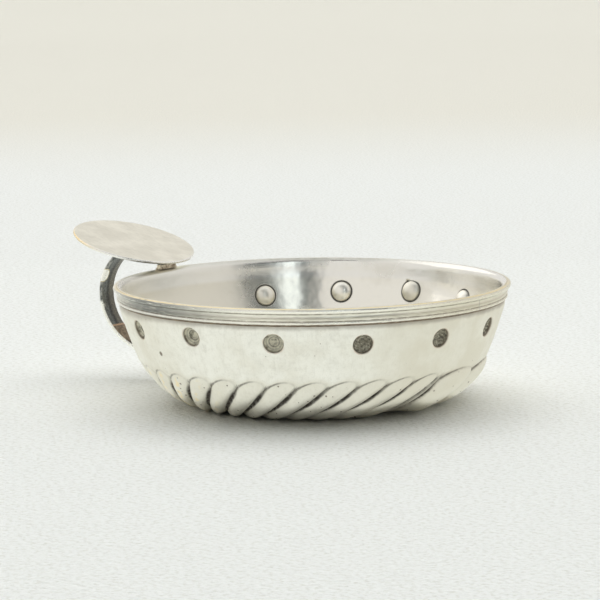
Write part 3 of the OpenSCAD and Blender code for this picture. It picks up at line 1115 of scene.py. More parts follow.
@dataclass
class Bowl:
    """The raised sheet: a spun blank, chased with gadroons and punched with dimples."""

    form: BowlForm
    chasing: Chasing
    fine_columns: int = 12
    broad_columns: int = 20
    floor_rows: int = 9
    base_rows: int = 6
    gadroon_rows: int = 40
    gadroon_crowd: float = 1.35
    tongue_rows: int = 7
    tongue_crowd: float = 1.8
    web_reach: float = 1.6
    wall_rows: int = 6
    dimple_rows: int = 10
    dimple_half: float = 3.0
    dimple_low: float = 3.9
    collar_rows: int = 4
    strip_turn: float = 0.08
    lip_round: float = 0.12
    lip_steps: tuple[Span, ...] = (
        (0.04, 0.03), (0.22, 0.06), (0.42, 0.17), (0.62, 0.36), (0.82, 0.62), (0.96, 0.9))
    pit_rings: tuple[float, ...] = (0.2, 0.36, 0.43, 0.5, 0.62, 0.74, 0.84, 0.9, 0.95, 1.0, 1.05, 1.12, 1.22)
    dome_rings: tuple[float, ...] = (
        0.18, 0.36, 0.52, 0.66, 0.78, 0.87, 0.93, 0.97, 1.0, 1.03, 1.07, 1.11, 1.13, 1.15)
    neck_ease: float = 0.13
    neck_reach: float = 2.7
    points: list[BowlPoint] = field(default_factory=list)
    faces: list[Face] = field(default_factory=list)
    reach: dict[int, float] = field(default_factory=dict)

    @cached_property
    def top_len(self) -> float:
        """Length along the profile at the gadroons' tops."""
        return self.form.length_at(self.chasing.top_h)

    @cached_property
    def dimple_len(self) -> float:
        """Length along the profile at the row of dimples."""
        return self.form.length_at(self.form.neck[1] - self.chasing.drop)

    @cached_property
    def columns(self) -> list[Column]:
        """The lines of points round the wall, gadroon by gadroon.

        Returns:
            The columns, in order of their angles.
        """
        c = self.chasing
        start = c.start_turn + c.fine_span
        found = [Column(c.start_turn + c.fine_span / c.fine_count * (lobe + (q + 1) / 2), q)
                 for lobe in range(c.fine_count) for q in self.crowded(self.fine_columns)]
        found.append(Column(start - self.strip_turn, 1.0, (1 + c.broad_twist) / 2, plain=1.0))
        for lobe in range(c.broad_count):
            for q in self.crowded(self.broad_columns):
                place = (lobe + (q + 1) / 2) / c.broad_count
                twist = c.broad_twist + (1 - c.broad_twist) * place ** 2
                found.append(Column(start + (360 - c.fine_span) * place, q, twist, broad=1.0))
        return found

    @staticmethod
    def crowded(steps: int) -> list[float]:
        """Places across a gadroon, from -1 to just short of 1, closer together at its sides."""
        return [math.sin(math.pi / 2 * (2 * step / steps - 1)) for step in range(steps)]

    def outline_at(self, across: float) -> float:
        """Length along the profile where a gadroon's round top ends, at a place across it."""
        return self.top_len - self.chasing.tongue * (1 - math.sqrt(max(0.0, 1 - across * across)))

    def rows(self) -> list[Callable[[float], float]]:
        """Rows of points from the middle of the base to the lip.

        Returns:
            For each row, its length along the profile by the place across a gadroon.
        """
        form, web = self.form, self.top_len + self.web_reach
        dome = form.dome_r - form.base_r
        low, high = self.dimple_len - self.dimple_low, self.dimple_len + self.dimple_half
        plain = even(-form.base_r, dome, self.floor_rows) + even(dome, 0.0, self.base_rows)
        found = [lambda q, s=s: s for s in plain]
        for share in even(0.0, 1.0, self.gadroon_rows, self.gadroon_crowd):
            found.append(lambda q, share=share: share * self.outline_at(q))
        for share in even(1.0, 0.0, self.tongue_rows, self.tongue_crowd)[-2::-1] + [1.0]:
            found.append(lambda q, share=share: self.outline_at(q) + share * (web - self.outline_at(q)))
        upper = even(web, low, self.wall_rows) + even(low, high, self.dimple_rows)
        upper += even(high, form.full_len - self.lip_round, self.collar_rows)
        return found + [lambda q, s=s: s for s in upper]

    def add(self, point: BowlPoint) -> int:
        """Adds a point and gives its number."""
        self.points.append(point)
        return len(self.points) - 1

    def add_row(self, line: Callable[[float], float], side: Side, inset: float = 0.0) -> list[int]:
        """Adds a row of points round the bowl and gives their numbers."""
        return [self.add(BowlPoint(line(column.across), column, side, inset)) for column in self.columns]

    def build_blank(self) -> bpy.types.Object:
        """Makes the blank: up the outside, over the lip and down the inside.

        Returns:
            The blank, its points marked with their places on the profile.
        """
        lines = self.rows()
        grid = [self.add_row(line, Side.OUTSIDE) for line in lines]
        for inset, drop in self.lip_steps:
            grid.append(self.add_row(lambda q, drop=drop: self.form.full_len - drop, Side.INSIDE, inset))
        grid += [self.add_row(line, Side.INSIDE) for line in reversed(lines[:-1])]
        holes = self.dimple_holes(len(lines))
        for r, (low, high) in enumerate(zip(grid, grid[1:])):
            self.faces += [face for c, face in enumerate(band(low, high)) if (r, c) not in holes]
        for dimple in dict.fromkeys(holes.values()):
            self.fill(dimple, grid)
        under, floor = (self.add(BowlPoint(-self.form.base_r, Column(0.0), side)) for side in Side)
        self.faces += [(under, b, a) for a, b in around(grid[0])]
        self.faces += [(a, b, floor) for a, b in around(grid[-1])]
        return self.mark()

    def dimple_holes(self, row_count: int) -> dict[tuple[int, int], Dimple]:
        """Finds the faces that the dimples take the place of, with none behind the handle.

        Args:
            row_count: Rows on one side of the sheet.

        Returns:
            The dimple of each face that is left out, by row and column.
        """
        c, count = self.chasing, len(self.columns)
        rows = {Side.OUTSIDE: row_count - self.collar_rows - self.dimple_rows - 1,
                Side.INSIDE: row_count + len(self.lip_steps) + self.collar_rows - 1}
        half = math.degrees(self.dimple_half / self.form.point_at(self.dimple_len)[0])
        holes = {}
        for i, (aside, up) in enumerate(c.strays):
            turn = c.first_turn + 360 / c.places * (i + (c.gap + 1) / 2) + aside
            inside = [n for n, column in enumerate(self.columns)
                      if abs((column.turn - turn + 180) % 360 - 180) < half]
            wrapped = [n if n - inside[0] < count // 2 else n - count for n in inside]
            left, right = min(wrapped) - 1, max(wrapped) + 1
            for side, row in rows.items():
                dimple = Dimple(turn, self.dimple_len + up, side, row, row + self.dimple_rows, left, right)
                holes.update({(r, n % count): dimple
                              for r in range(row, row + self.dimple_rows) for n in range(left, right)})
        return holes

    def fill(self, dimple: Dimple, grid: list[list[int]]) -> None:
        """Fills a dimple's faces with rings round its middle.

        Args:
            dimple: The dimple.
            grid: Point numbers by row and column.
        """
        d = dimple
        edge = [(d.low, c) for c in range(d.left, d.right)] + [(r, d.right) for r in range(d.low, d.high)]
        edge += [(d.high, c) for c in range(d.right, d.left, -1)]
        edge += [(r, d.left) for r in range(d.high, d.low, -1)]
        outer = [grid[r][c % len(self.columns)] for r, c in edge]
        radius = self.form.point_at(self.dimple_len)[0]
        places = []
        for number in outer:
            point = self.points[number]
            places.append((math.radians((point.column.turn - d.turn + 180) % 360 - 180) * radius,
                           point.along - d.along))
            self.reach[number] = math.hypot(*places[-1])
        scale, rings = ((self.chasing.pit_r, self.pit_rings) if d.side is Side.OUTSIDE
                        else (self.chasing.dome_r, self.dome_rings))
        for share in reversed(rings):
            inner = []
            for u, v in places:
                pull = scale * share / math.hypot(u, v)
                column = Column(d.turn + math.degrees(u * pull / radius))
                inner.append(self.add(BowlPoint(d.along + v * pull, column, d.side)))
                self.reach[inner[-1]] = scale * share
            self.faces += band(outer, inner)
            outer = inner
        middle = self.add(BowlPoint(d.along, Column(d.turn), d.side))
        self.reach[middle] = 0.0
        self.faces += [(a, b, middle) for a, b in around(outer)]

    def mark(self) -> bpy.types.Object:
        """Places the points on the blank and stores what the chasing needs to know of each.

        Returns:
            The blank.
        """
        form, places, outward, turns = self.form, [], [], []
        for p in self.points:
            ease = max(0.0, 1 - abs(p.along - form.neck_len) / self.neck_reach) ** 2 * p.side.value
            r, z = form.point_at(p.along, -form.sheet * (p.inset or p.side.value) - self.neck_ease * ease)
            below = max(0.0, self.top_len - max(0.0, p.along))
            slope = self.chasing.lean + self.chasing.curl * below
            turns.append(p.column.turn - p.column.twist * below * slope)
            lean = form.turn_at(p.along)
            places.append(polar(r, turns[-1], z))
            outward.append(polar(math.sin(lean), turns[-1], -math.cos(lean)))
        piece = new_piece("bowl_dressed", places, self.faces)
        keep_vectors(piece, "outward", outward)
        for name in ("across", "broad", "plain"):
            keep_numbers(piece, name, [getattr(p.column, name) for p in self.points])
        keep_numbers(piece, "along", [p.along for p in self.points])
        keep_numbers(piece, "round", turns)
        keep_numbers(piece, "inner", [p.side.value for p in self.points])
        keep_numbers(piece, "reach", [self.reach.get(i, form.lip_r) for i in range(len(self.points))])
        return piece

    def chase(self, piece: bpy.types.Object, outside: bpy.types.Material, inside: bpy.types.Material) -> None:
        """Chases the gadroons and punches the dimples into the blank.

        Args:
            piece: The blank.
            outside: Material of the outer face.
            inside: Material of the inner face.
        """
        c = self.chasing
        recipe = Recipe("chased_bowl")
        along, across, turn, inner, broad, plain, distance = (
            recipe.read(name) for name in ("along", "across", "round", "inner", "broad", "plain", "reach"))
        # Gadroons: round lobes with round tops, their feet fading into the base
        top_len, tongue = recipe.size("Gadroon length", self.top_len), recipe.size("Tongue length", c.tongue)
        panel = recipe.size("Half angle of plain panel", c.panel_half)
        share, top = along / top_len, ((along - top_len) / tongue + 1.0).at_least(0.0)
        valley = recipe.size("Valley", c.valley) * share.rise(*c.valley_from) * share.fall(*c.valley_to)
        beside = (abs(across) / (1.0 - valley)).at_most(1.0)
        spread = beside * beside + top * top
        lobe = (1.0 - spread).at_least(0.0) ** recipe.size("Roundness", c.roundness)
        shown = abs(turn.angle_from(HANDLE_TURN)).rise(
            panel, panel + recipe.size("Blend of panel", c.panel_blend))
        groove = recipe.size("Groove depth", c.groove) * -1.0
        low = groove * share.rise(*c.groove_from) * (1.0 - top).at_least(0.0)
        crest = recipe.size("Crest height", c.crest) * share.rise(*c.crest_from) * share.fall(*c.crest_to)
        broad_crest = recipe.size("Crest height of broad gadroons", c.broad_crest) * share.rise(*c.broad_from)
        high = crest * (1.0 - broad) + broad_crest * broad
        relief = (low + (high - low) * lobe) * shown * (1.0 - c.plain_share * plain)
        # Dimples: pits outside, domes inside
        in_pit = distance / recipe.size("Pit radius", c.pit_r)
        in_dome = distance / recipe.size("Dome radius", c.dome_r)
        pit = sum(in_pit.fall(inner_r, outer_r) * step for inner_r, outer_r, step in c.pit_steps)
        dome = (1.0 - in_dome * in_dome).at_least(0.0) ** recipe.size("Roundness of dome", c.dome_round)
        trench_at, trench_half, trench_depth = c.dome_trench
        trench = in_dome.near(trench_at, trench_half) * trench_depth
        dome = recipe.size("Dome rise", c.dome_rise) * dome - trench
        relief = relief - recipe.size("Pit depth", c.pit_depth) * pit * (1.0 - inner) - dome * inner
        shift = made_by("ShaderNodeVectorMath", {
            "Vector": recipe.read("outward", "FLOAT_VECTOR"), "Scale": relief * MM}, operation="SCALE")
        shape = recipe.move(recipe.geometry, shift)
        for name, value in (
                ("lobe", spread.at_most(4.0)), ("share", share),
                ("chased", shown * share.rise(*c.chased_from) * share.fall(*c.chased_to) * (1.0 - plain)),
                ("pit", (in_pit + (in_dome - in_pit) * inner).at_most(3.0))):
            shape = recipe.store(shape, name, value)
        recipe.close(shape, outside, inside)
        recipe.run(piece)

    def build(self) -> None:
        """Makes the chased bowl and dresses it."""
        piece = self.build_blank()
        self.chase(piece, SatinPlate().material(), PolishedPlate(self.form.height).material())
        dress(piece, "bowl")


# Rim


@dataclass
class Moulding:
    """The drawn wire round the lip, and the line of solder under it."""

    form: BowlForm
    height: float = 3.2
    band_t: float = 0.25
    lip_bead_r: float = 0.52
    lip_bead_lift: float = 0.13
    lip_bead_drop: float = 0.52
    low_bead_r: float = 0.3
    low_bead_sink: float = 0.1
    low_bead_inset: float = 0.05
    rib_r: float = 0.1
    rib_drop: float = 2.0
    solder_w: float = 0.3
    solder_hollow: float = 0.35
    solder_wander: float = 0.08
    wander_scale: float = 90.0
    segments: int = 360
    bead_steps: int = 12

    @property
    def low_bead_drop(self) -> float:
        """Length from the lip down to the lower bead's middle."""
        return self.height - self.low_bead_inset - self.low_bead_r

    def at(self, down: float, out: float) -> Vector:
        """A point of the section, at a length down the collar from the lip and a distance out of it."""
        r, z = self.form.point_at(self.form.full_len - down, out)
        return Vector((r, 0.0, z))

    def bead(self, down: float, lift: float, radius: float, start: float) -> list[Vector]:
        """Outline of a bead that ends on the band.

        Args:
            down: Length from the lip down to its middle.
            lift: Distance of its middle out of the band.
            radius: Its radius.
            start: Angle at which its outline starts.

        Returns:
            Points of the section.
        """
        end = math.asin(-lift / radius)
        angles = [start + (end - start) * i / self.bead_steps for i in range(self.bead_steps + 1)]
        return [self.at(down + radius * math.cos(a), self.band_t + lift + radius * math.sin(a))
                for a in angles]

    def section(self) -> list[Vector]:
        """The wire's section.

        Returns:
            Its points, round from the lip.
        """
        lip_start = math.pi + math.asin((self.band_t + self.lip_bead_lift) / self.lip_bead_r)
        low_start = math.pi - math.asin(self.low_bead_sink / self.low_bead_r)
        return [*self.bead(self.lip_bead_drop, self.lip_bead_lift, self.lip_bead_r, lip_start),
                *self.bead(self.rib_drop, 0.0, self.rib_r, math.pi),
                *self.bead(self.low_bead_drop, -self.low_bead_sink, self.low_bead_r, low_start),
                self.at(self.height, self.band_t), self.at(self.height, 0)]

    def solder_section(self) -> list[Vector]:
        """The section of the solder line under the wire.

        Returns:
            Its points.
        """
        hollow = self.solder_hollow
        return [self.at(self.height, 0), self.at(self.height, self.band_t),
                self.at(self.height + hollow * self.solder_w, hollow * self.band_t),
                self.at(self.height + self.solder_w, 0)]

    def sweep(self, name: str, section: Sequence[Vector], material: bpy.types.Material,
              wander: float = 0.0) -> bpy.types.Object:
        """Sweeps a section round the bowl.

        Args:
            name: The piece's name.
            section: Points of the closed section, in the plane of X and Z.
            material: Its material.
            wander: How far the piece runs up and down, in mm.

        Returns:
            The swept piece.
        """
        ring_r = self.form.lip_r
        flat = [Vector((point.x - ring_r, -point.z, 0.0)) for point in section]
        piece = new_piece(name, flat, edges=around(range(len(flat))))
        recipe = Recipe(name + "_sweep")
        ring = recipe.node("GeometryNodeCurvePrimitiveCircle", {
            "Resolution": self.segments, "Radius": recipe.size("Ring radius", ring_r * MM)})
        shape = recipe.sweep(ring, recipe.node("GeometryNodeMeshToCurve", {"Mesh": recipe.geometry}))
        noise = recipe.node("ShaderNodeTexNoise", {
            "Vector": recipe.node("GeometryNodeInputPosition"), "Scale": self.wander_scale, "Detail": 3.0})
        shape = recipe.move(shape, joined(0.0, 0.0, (noise - 0.5) * recipe.size("Wander", wander * MM)))
        recipe.close(recipe.node("GeometryNodeSetShadeSmooth", {"Geometry": shape}), material)
        recipe.run(piece)
        return piece

    def build(self, solder: bpy.types.Material) -> None:
        """Makes the wire and its solder, and dresses them.

        Args:
            solder: The solder's material.
        """
        plate = DrawnWire(self.form.height).material(self)
        dress(self.sweep("rim_moulding_dressed", self.section(), plate), "rim_moulding")
        line = self.sweep("rim_solder_dressed", self.solder_section(), solder, self.solder_wander)
        dress(line, "rim_solder")


# Handle


@dataclass
class ThumbRest:
    """The round plate that the thumb lies on."""

    form: BowlForm
    reach: float = 8.8
    rise: float = 5.3
    radius: float = 13.05
    thickness: float = 0.65
    tilt: float = 15.6
    dish: float = 0.12
    segments: int = 160
    face_rings: int = 10
    face_crowd: float = 2.2
    edge_steps: int = 10

    @cached_property
    def middle(self) -> Vector:
        """The middle of the top face."""
        return Vector((-(self.form.lip_r + self.reach), 0, self.form.height + self.rise))

    @cached_property
    def frame(self) -> Matrix:
        """Turns and moves the plate from level at the origin to its place."""
        return Matrix.Translation(self.middle) @ Matrix.Rotation(math.radians(self.tilt), 4, "Y")

    def outline(self) -> list[tuple[float, float, float]]:
        """The plate's outline, from the middle of the top round to that of the underside.

        Returns:
            Radius, height and share of the edge of each ring.
        """
        edge = self.thickness / 2
        flat = self.radius - edge
        shares = even(0.0, 1.0, self.face_rings, self.face_crowd)[:-1]
        rings = [(flat * share, -self.dish * (1 - share ** 2), 0.0) for share in shares]
        for i in range(self.edge_steps + 1):
            a = math.pi / 2 - math.pi * i / self.edge_steps
            rings.append((flat + edge * math.cos(a), -edge + edge * math.sin(a), i / self.edge_steps))
        return rings + [(flat * (1 - i / self.face_rings), -self.thickness, 0.0)
                        for i in range(1, self.face_rings)]

    def build(self) -> None:
        """Makes the plate and dresses it."""
        rings, size = self.outline(), self.segments
        spokes = [(ring, 360 * i / size) for ring in rings for i in range(size)]
        points = [polar(r, turn, z) for (r, z, _), turn in spokes]
        points += [Vector((0, 0, -self.dish)), Vector((0, 0, -self.thickness))]
        top, under = len(spokes), len(spokes) + 1
        faces = turned_over(tube(len(rings), size))
        faces += [(top, a, b) for a, b in around(range(size))]
        faces += [(under, b, a) for a, b in around(range(top - size, top))]
        piece = new_piece("thumb_rest_dressed", [self.frame @ point for point in points], faces)
        keep_numbers(piece, "edge", [edge for (_, _, edge), _ in spokes] + [0.0, 0.0])
        keep_numbers(piece, "turn", [(turn + 180) % 360 - 180 for _, turn in spokes] + [0.0, 0.0])
        dress(piece, "thumb_rest", RubbedPlate().material())


@dataclass
class FingerRing:
    """The bent strap: from the lower wall out, up, in under the thumb rest and down on the lip."""

    form: BowlForm
    rest: ThumbRest
    reach: float = 17.6
    middle: float = 1.2
    clear: float = 5.1
    crown: float = 3.5
    thickness: float = 0.9
    width: float = 3.8
    end_width: float = 4.8
    taper: float = 10.0
    ledge: float = 0.25
    corner: float = 0.22
    corner_steps: int = 4
    sink: float = 0.35
    loop_start: float = 40.0
    loop_span: float = 220.0
    oval_steps: int = 90
    bend: float = 1.1
    bend_under: float = 0.35
    bend_before: float = 0.6
    bend_after: float = 1.6
    bend_steps: int = 8

    @cached_property
    def along_rest(self) -> Vector:
        """Direction along the underside of the rest, towards the bowl."""
        return (self.rest.frame.to_3x3() @ Vector((1, 0, 0))).normalized()

    @cached_property
    def under_rest(self) -> Vector:
        """A point of the strap's middle line under the rest."""
        return self.rest.frame @ Vector((0, 0, -self.rest.thickness - self.thickness / 2))

    @cached_property
    def post(self) -> Vector:
        """The middle of the strap's upper end, on the lip."""
        out = self.form.lip_r - self.form.sheet + self.ledge + self.thickness / 2
        return Vector((-out, 0, self.form.height))

    def slim(self, x: float) -> float:
        """Half the strap's width at a place along X, which narrows away from the bowl."""
        share = min(1.0, max(0.0, (-x - self.form.lip_r) / self.taper))
        return (self.end_width + (self.width - self.end_width) * share) / 2

    def oval(self, angle: float) -> Vector:
        """A point of the loop's middle line.

        Args:
            angle: Angle in radians round the loop, from the bowl's side.

        Returns:
            The point.
        """
        rest, tilt, half = self.rest, math.radians(self.rest.tilt), self.thickness / 2
        under = rest.middle.z - rest.thickness / math.cos(tilt) - (rest.reach - self.middle) * math.tan(tilt)
        top = under + self.crown
        across = (self.reach - self.middle - half) * math.cos(angle)
        upright = ((top - self.clear) / 2 - half) * math.sin(angle)
        return Vector((-(self.form.lip_r + self.middle) + across, 0, (top + self.clear) / 2 + upright))

    def bent(self, before: Vector, corner: Vector, after: Vector) -> list[Vector]:
        """A smooth bend in place of a corner, from a point before it to one after it."""
        shares = [i / self.bend_steps for i in range(self.bend_steps + 1)]
        return [before * (1 - t) ** 2 + corner * (2 * t * (1 - t)) + after * t ** 2 for t in shares]

    def path(self) -> list[Vector]:
        """The strap's middle line.

        Returns:
            Its points, from inside the wall round to the lip.
        """
        form, along, under = self.form, self.along_rest, self.under_rest
        normal = Vector((-along.z, 0, along.x))
        loop = []
        for i in range(self.oval_steps + 1):
            point = self.oval(-math.radians(self.loop_start + self.loop_span * i / self.oval_steps))
            wall = form.point_at(form.length_at(point.z))[0] if point.z < form.neck[1] else 0.0
            inside = -point.x < wall - self.sink
            above = (point - under).dot(normal) > -self.bend * self.bend_under
            if not inside and not (above and i > self.oval_steps // 2):
                loop.append(point)
        corner = under + along * ((loop[-1] - under).dot(along) + self.bend * self.bend_before)
        drop = under + along * ((self.post.x - under.x) / along.x)
        turn = self.bent(loop[-1], corner, corner + along * self.bend * self.bend_after)
        down = self.bent(drop - along * self.bend, drop, drop - Vector((0, 0, self.bend)))
        return loop + turn[1:] + down + [self.post]

    def build(self) -> None:
        """Makes the strap and dresses it."""
        path = self.path()
        steps = range(len(path))
        piece = new_piece("finger_ring_dressed", path, edges=list(zip(steps, steps[1:])))
        recipe = Recipe("bent_strap")
        width = recipe.size("Width round the loop", self.width * MM)
        bar = recipe.node("GeometryNodeCurvePrimitiveQuadrilateral", {
            "Height": recipe.size("Thickness", self.thickness * MM), "Width": width})
        bar = recipe.node("GeometryNodeFilletCurve", {
            "Curve": bar, "Radius": recipe.size("Corner radius", self.corner * MM),
            "Count": self.corner_steps}, mode="POLY")
        line = recipe.node("GeometryNodeMeshToCurve", {"Mesh": recipe.geometry})
        shape = recipe.sweep(line, bar, capped=True)
        x, y, _ = parts_of(recipe.node("GeometryNodeInputPosition"))
        slim = ((x * -1.0 - recipe.size("Lip radius", self.form.lip_r * MM))
                / recipe.size("Length of taper", self.taper * MM)).at_least(0.0).at_most(1.0)
        widen = recipe.size("Width at the ends", self.end_width * MM) / width
        shape = recipe.store(shape, "across", y * 2.0 / width)
        shape = recipe.move(shape, joined(0.0, y * (widen + (1.0 - widen) * slim) - y, 0.0))
        shape = recipe.node("GeometryNodeSetShadeSmooth", {"Geometry": shape})
        recipe.close(shape, StrapWithTarnishAndPaintedReflection().material(self))
        recipe.run(piece)
        dress(piece, "finger_ring")


@dataclass
class SolderJoints:
    """The solder at the strap's foot, at its upper end on the lip, and along it under the rest."""

    ring: FingerRing
    solder: bpy.types.Material
    spread: float = 0.42
    rise: float = 0.9
    skin: float = 0.04
    hollow: float = 2.2
    corner_steps: int = 6
    rise_steps: int = 6
    foot_sink: float = 0.12
    foot_half: float = 0.62
    foot_spread: float = 0.5
    strip_steps: int = 14
    strip_depth: float = 0.45
    strip_sink: float = 0.05
    strip_hollow: float = 0.3
    strip_ends: float = 6.0

    def collar(self, node: str, place: Matrix, half_x: float, spread_x: float) -> None:
        """Makes a hollow-sided collar of solder round an end of the strap, and dresses it.

        Args:
            node: The solid that it replaces.
            place: Moves the collar from level at the origin to its seat.
            half_x: Half the strap's thickness there.
            spread_x: How far the solder spreads from the strap's faces.
        """
        half_y = self.ring.end_width / 2
        points = []
        for level in range(self.rise_steps + 1):
            t = level / self.rise_steps
            flow = (1 - t) ** self.hollow
            out_x, out_y = self.skin + spread_x * flow, self.skin + self.spread * flow
            for quarter, (sx, sy) in enumerate(((1, 1), (-1, 1), (-1, -1), (1, -1))):
                for step in range(self.corner_steps + 1):
                    a = math.radians(90 * (quarter + step / self.corner_steps))
                    points.append(place @ Vector((sx * half_x + out_x * math.cos(a),
                                                  sy * half_y + out_y * math.sin(a), self.rise * t)))
        size = 4 * (self.corner_steps + 1)
        faces = tube(self.rise_steps + 1, size)
        faces += [tuple(reversed(range(size))), tuple(range(len(points) - size, len(points)))]
        dress(new_piece(node + "_dressed", points, faces), node, self.solder)

    def build_lip(self) -> None:
        """Makes the collar on the lip."""
        place = Matrix.Translation(self.ring.post)
        self.collar("lip_solder", place, self.ring.thickness / 2, self.ring.ledge)

    def build_foot(self) -> None:
        """Makes the collar at the foot, square to the wall."""
        ring, path = self.ring, self.ring.path()
        foot = path[0] + (path[1] - path[0]).normalized() * ring.sink
        turn = ring.form.turn_at(ring.form.length_at(foot.z))
        out, side = Vector((-math.sin(turn), 0, -math.cos(turn))), Vector((0, 1, 0))
        place = Matrix((side.cross(out), side, out)).transposed().to_4x4()
        place.translation = foot - out * self.foot_sink
        self.collar("foot_solder", place, ring.thickness * self.foot_half, self.foot_spread)

    def build_rest(self) -> None:
        """Makes the two hollow strips along the strap under the rest."""
        ring, rest = self.ring, self.ring.rest
        low, high = (corner.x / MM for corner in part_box("thumb_rest_solder"))
        points, faces = [], []
        for side in (-1, 1):
            first = len(points)
            for step in range(self.strip_steps + 1):
                t = step / self.strip_steps
                x = low + (high - low) * t
                fade = min(1.0, self.strip_ends * t, self.strip_ends * (1 - t)) ** 0.5
                along = (x - rest.middle.x) / math.cos(math.radians(rest.tilt))
                level = (rest.frame @ Vector((along, 0, -rest.thickness))).z
                wide, deep, sink = self.spread * fade, self.strip_depth * fade, self.strip_sink
                waist = (wide * self.strip_hollow, deep * self.strip_hollow)
                for out, down in ((-sink, -sink), (wide, -sink), waist, (0.0, deep), (-sink, deep)):
                    points.append(Vector((x, side * (ring.slim(x) + out), level - down)))
            size = (len(points) - first) // (self.strip_steps + 1)
            strip = turned_over(tube(self.strip_steps + 1, size, first))
            strip.append(tuple(range(first, first + size)))
            strip.append(tuple(reversed(range(len(points) - size, len(points)))))
            faces += strip if side > 0 else turned_over(strip)
        piece = new_piece("thumb_rest_solder_dressed", points, faces)
        dress(piece, "thumb_rest_solder", self.solder)

    def build(self) -> None:
        """Makes all the joints."""
        for make in (self.build_lip, self.build_foot, self.build_rest):
            make()


# Studio


@dataclass(frozen=True)
class Card:
    """A glowing card that only reflections see.

    Its two sides are angles to the right of the camera, its foot and head are angles above the floor, and
    each of those two has its distance from the bowl's axis. A card for the floor doesn't show in the metal:
    it shines off the metal onto the floor.
    """

    name: str
    sides: Span
    rise: Span
    away: Span
    glow: float
    colour: Colour = (1.0, 0.985, 0.96)
    for_floor: bool = False
    step: float = 30.0

    def build(self) -> None:
        """Makes the card."""
        steps = max(1, round((self.sides[1] - self.sides[0]) / self.step))
        points = [polar(away, FRONT_TURN + angle, away * math.tan(math.radians(rise)))
                  for away, rise in zip(self.away, self.rise)
                  for angle in [self.sides[0]] + even(*self.sides, steps)]
        card = new_piece(self.name, points, [(i, i + 1, i + steps + 2, i + steps + 1) for i in range(steps)])
        material = bpy.data.materials.new(self.name)
        material.use_nodes = True
        tree = material.node_tree
        emission = add_node(tree, "ShaderNodeEmission", {"Color": self.colour, "Strength": self.glow})
        light = Field(emission.outputs[0])
        clear = Field(add_node(tree, "ShaderNodeBsdfTransparent").outputs[0])
        bounced = Field(add_node(tree, "ShaderNodeLightPath").outputs["Diffuse Depth"]).at_most(1.0)
        shown, bounce = (clear, light) if self.for_floor else (light, clear)
        plug(made_by("ShaderNodeMixShader", {0: bounced, 1: shown, 2: bounce}),
             tree.nodes["Material Output"].inputs["Surface"])
        card.data.materials.append(material)
        card.visible_camera = card.visible_diffuse = card.visible_shadow = False


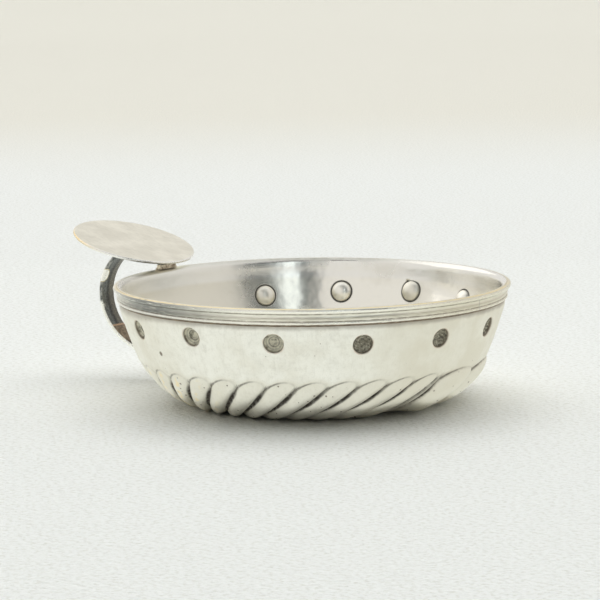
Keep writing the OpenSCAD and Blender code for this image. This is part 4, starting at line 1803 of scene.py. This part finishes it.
@dataclass(frozen=True)
class Studio:
    """Floor, sky, lamp, cards and camera."""

    floor_r: float = 9000.0
    near_colour: Colour = (0.75, 0.765, 0.74)
    floor_colour: Colour = (0.785, 0.80, 0.775)
    far_colour: Colour = (0.735, 0.715, 0.63)
    grain_colour: Colour = (0.63, 0.635, 0.585)
    near_to: Span = (-200.0, 120.0)
    far_from: Span = (420.0, 900.0)
    floor_relief: float = 0.5
    floor_rough: float = 0.75
    floor_gloss: float = 0.2
    low_sky: Colour = (0.045, 0.045, 0.04)
    high_sky: Colour = (0.92, 0.925, 0.92)
    sky_ramp: Span = (-0.55, -0.1)
    window_turn: float = 182.0
    window_rise: float = 74.0
    window_spread: float = 64.0
    window_light: float = 1.48
    view_rise: float = 7.933
    view_roll: float = -0.771
    view_distance: float = 520.0
    aim: tuple[float, float, float] = (-2.435, 0.0, 20.193)
    focal_px: float = 2578.1
    frame_px: float = 600.0
    sensor: float = 36.0
    clip: Span = (0.01, 50.0)
    cards: tuple[Card, ...] = (
        Card("pale_walls", (0.0, 360.0), (0.0, 54.0), (2000.0, 2000.0), 0.77),
        Card("left_wall", (-160.0, -88.0), (18.0, 60.0), (1500.0, 1500.0), 1.15),
        Card("floor_card", (0.0, 360.0), (0.05, 0.01), (31.2, 240.0), 0.9, (0.975, 1.0, 0.945)),
        Card("dark_flag", (-4.0, 48.0), (5.0, 52.0), (900.0, 900.0), 0.13, (0.9, 0.98, 1.0)),
        Card("bright_window", (9.0, 21.5), (6.0, 48.0), (700.0, 700.0), 1.3, (0.92, 0.985, 1.0)),
        Card("left_light", (-140.0, -50.0), (1.0, 40.0), (600.0, 600.0), 3.0, for_floor=True),
        Card("right_light", (50.0, 140.0), (1.0, 40.0), (600.0, 600.0), 3.0, for_floor=True))

    def build_camera(self) -> None:
        """Makes the camera at the photograph's viewing angle."""
        rise, roll = math.radians(self.view_rise), math.radians(self.view_roll)
        ahead = Vector((0, math.cos(rise), -math.sin(rise)))
        level_up = Vector((0, math.sin(rise), math.cos(rise)))
        right = Vector((math.cos(roll), 0, 0)) + level_up * math.sin(roll)
        up = Vector((-math.sin(roll), 0, 0)) + level_up * math.cos(roll)
        place = Matrix((right, up, -ahead)).transposed().to_4x4()
        place.translation = (Vector(self.aim) - ahead * self.view_distance) * MM
        lens = bpy.data.cameras.new("camera")
        lens.sensor_width = self.sensor
        lens.lens = self.focal_px / self.frame_px * self.sensor
        lens.clip_start, lens.clip_end = self.clip
        camera = bpy.data.objects.new("camera", lens)
        camera.matrix_world = Matrix.Rotation(math.radians(VIEW_TURN), 4, "Z") @ place
        bpy.context.scene.collection.objects.link(camera)
        bpy.context.scene.camera = camera

    def build_floor(self) -> None:
        """Makes the pale floor."""
        corners = [polar(self.floor_r, 90 * i + 45, 0.0) for i in range(4)]
        floor = new_piece("floor", corners, [(0, 1, 2, 3)])
        s = Surface("pale_floor", self.near_colour)
        away = behind(s.x, s.y)
        s.coat(away.rise(*self.near_to), self.floor_colour)
        s.coat(away.rise(*self.far_from), self.far_colour)
        s.coat(s.cloud(0.9, 5.0).rise(0.45, 0.7) * 0.8, self.grain_colour)
        s.bump(s.cloud(1.1, 4.0), self.floor_relief)
        s.shader.inputs["Specular IOR Level"].default_value = self.floor_gloss
        floor.data.materials.append(s.paint(self.floor_rough, 0.0))

    def build_window(self) -> None:
        """Makes the broad soft light from behind, which reflections don't show."""
        light = bpy.data.lights.new("window_light", "SUN")
        light.angle, light.energy = math.radians(self.window_spread), self.window_light
        rise = math.radians(self.window_rise)
        toward = polar(math.cos(rise), FRONT_TURN + self.window_turn, math.sin(rise))
        holder = bpy.data.objects.new("window_light", light)
        holder.matrix_world = Matrix.Translation(toward) @ toward.to_track_quat("Z", "Y").to_matrix().to_4x4()
        holder.visible_glossy = False
        bpy.context.scene.collection.objects.link(holder)

    def build_sky(self) -> None:
        """Makes the surroundings: white overhead and behind, dim on the camera's side."""
        world = bpy.data.worlds.new("surroundings")
        world.use_nodes = True
        x, y, _ = parts_of(Field(add_node(world.node_tree, "ShaderNodeTexCoord").outputs["Generated"]))
        sky = tint(behind(x, y).rise(*self.sky_ramp), self.low_sky, self.high_sky)
        plug(sky, world.node_tree.nodes["Background"].inputs["Color"])
        bpy.context.scene.world = world

    def build(self) -> None:
        """Makes the whole studio."""
        self.build_camera()
        self.build_floor()
        self.build_sky()
        self.build_window()
        for card in self.cards:
            card.build()
        bpy.context.scene.view_settings.view_transform = "Standard"


def main() -> None:
    """Builds the studio and each piece of the tastevin."""
    logging.basicConfig(level=logging.INFO, format="%(message)s")
    Studio().build()
    low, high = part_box("bowl")
    form = BowlForm(lip_r=(high.x - low.x) / 2 / MM, height=high.z / MM)
    Bowl(form, Chasing()).build()
    Moulding(form).build(DullSolder("sooted_solder", METALS.brown, METALS.flux, 0.2).material())
    rest = ThumbRest(form)
    rest.build()
    ring = FingerRing(form, rest)
    ring.build()
    SolderJoints(ring, DullSolder("dull_solder", METALS.flux, METALS.worn_solder, 0.8).material()).build()


if __name__ == "__main__":
    main()
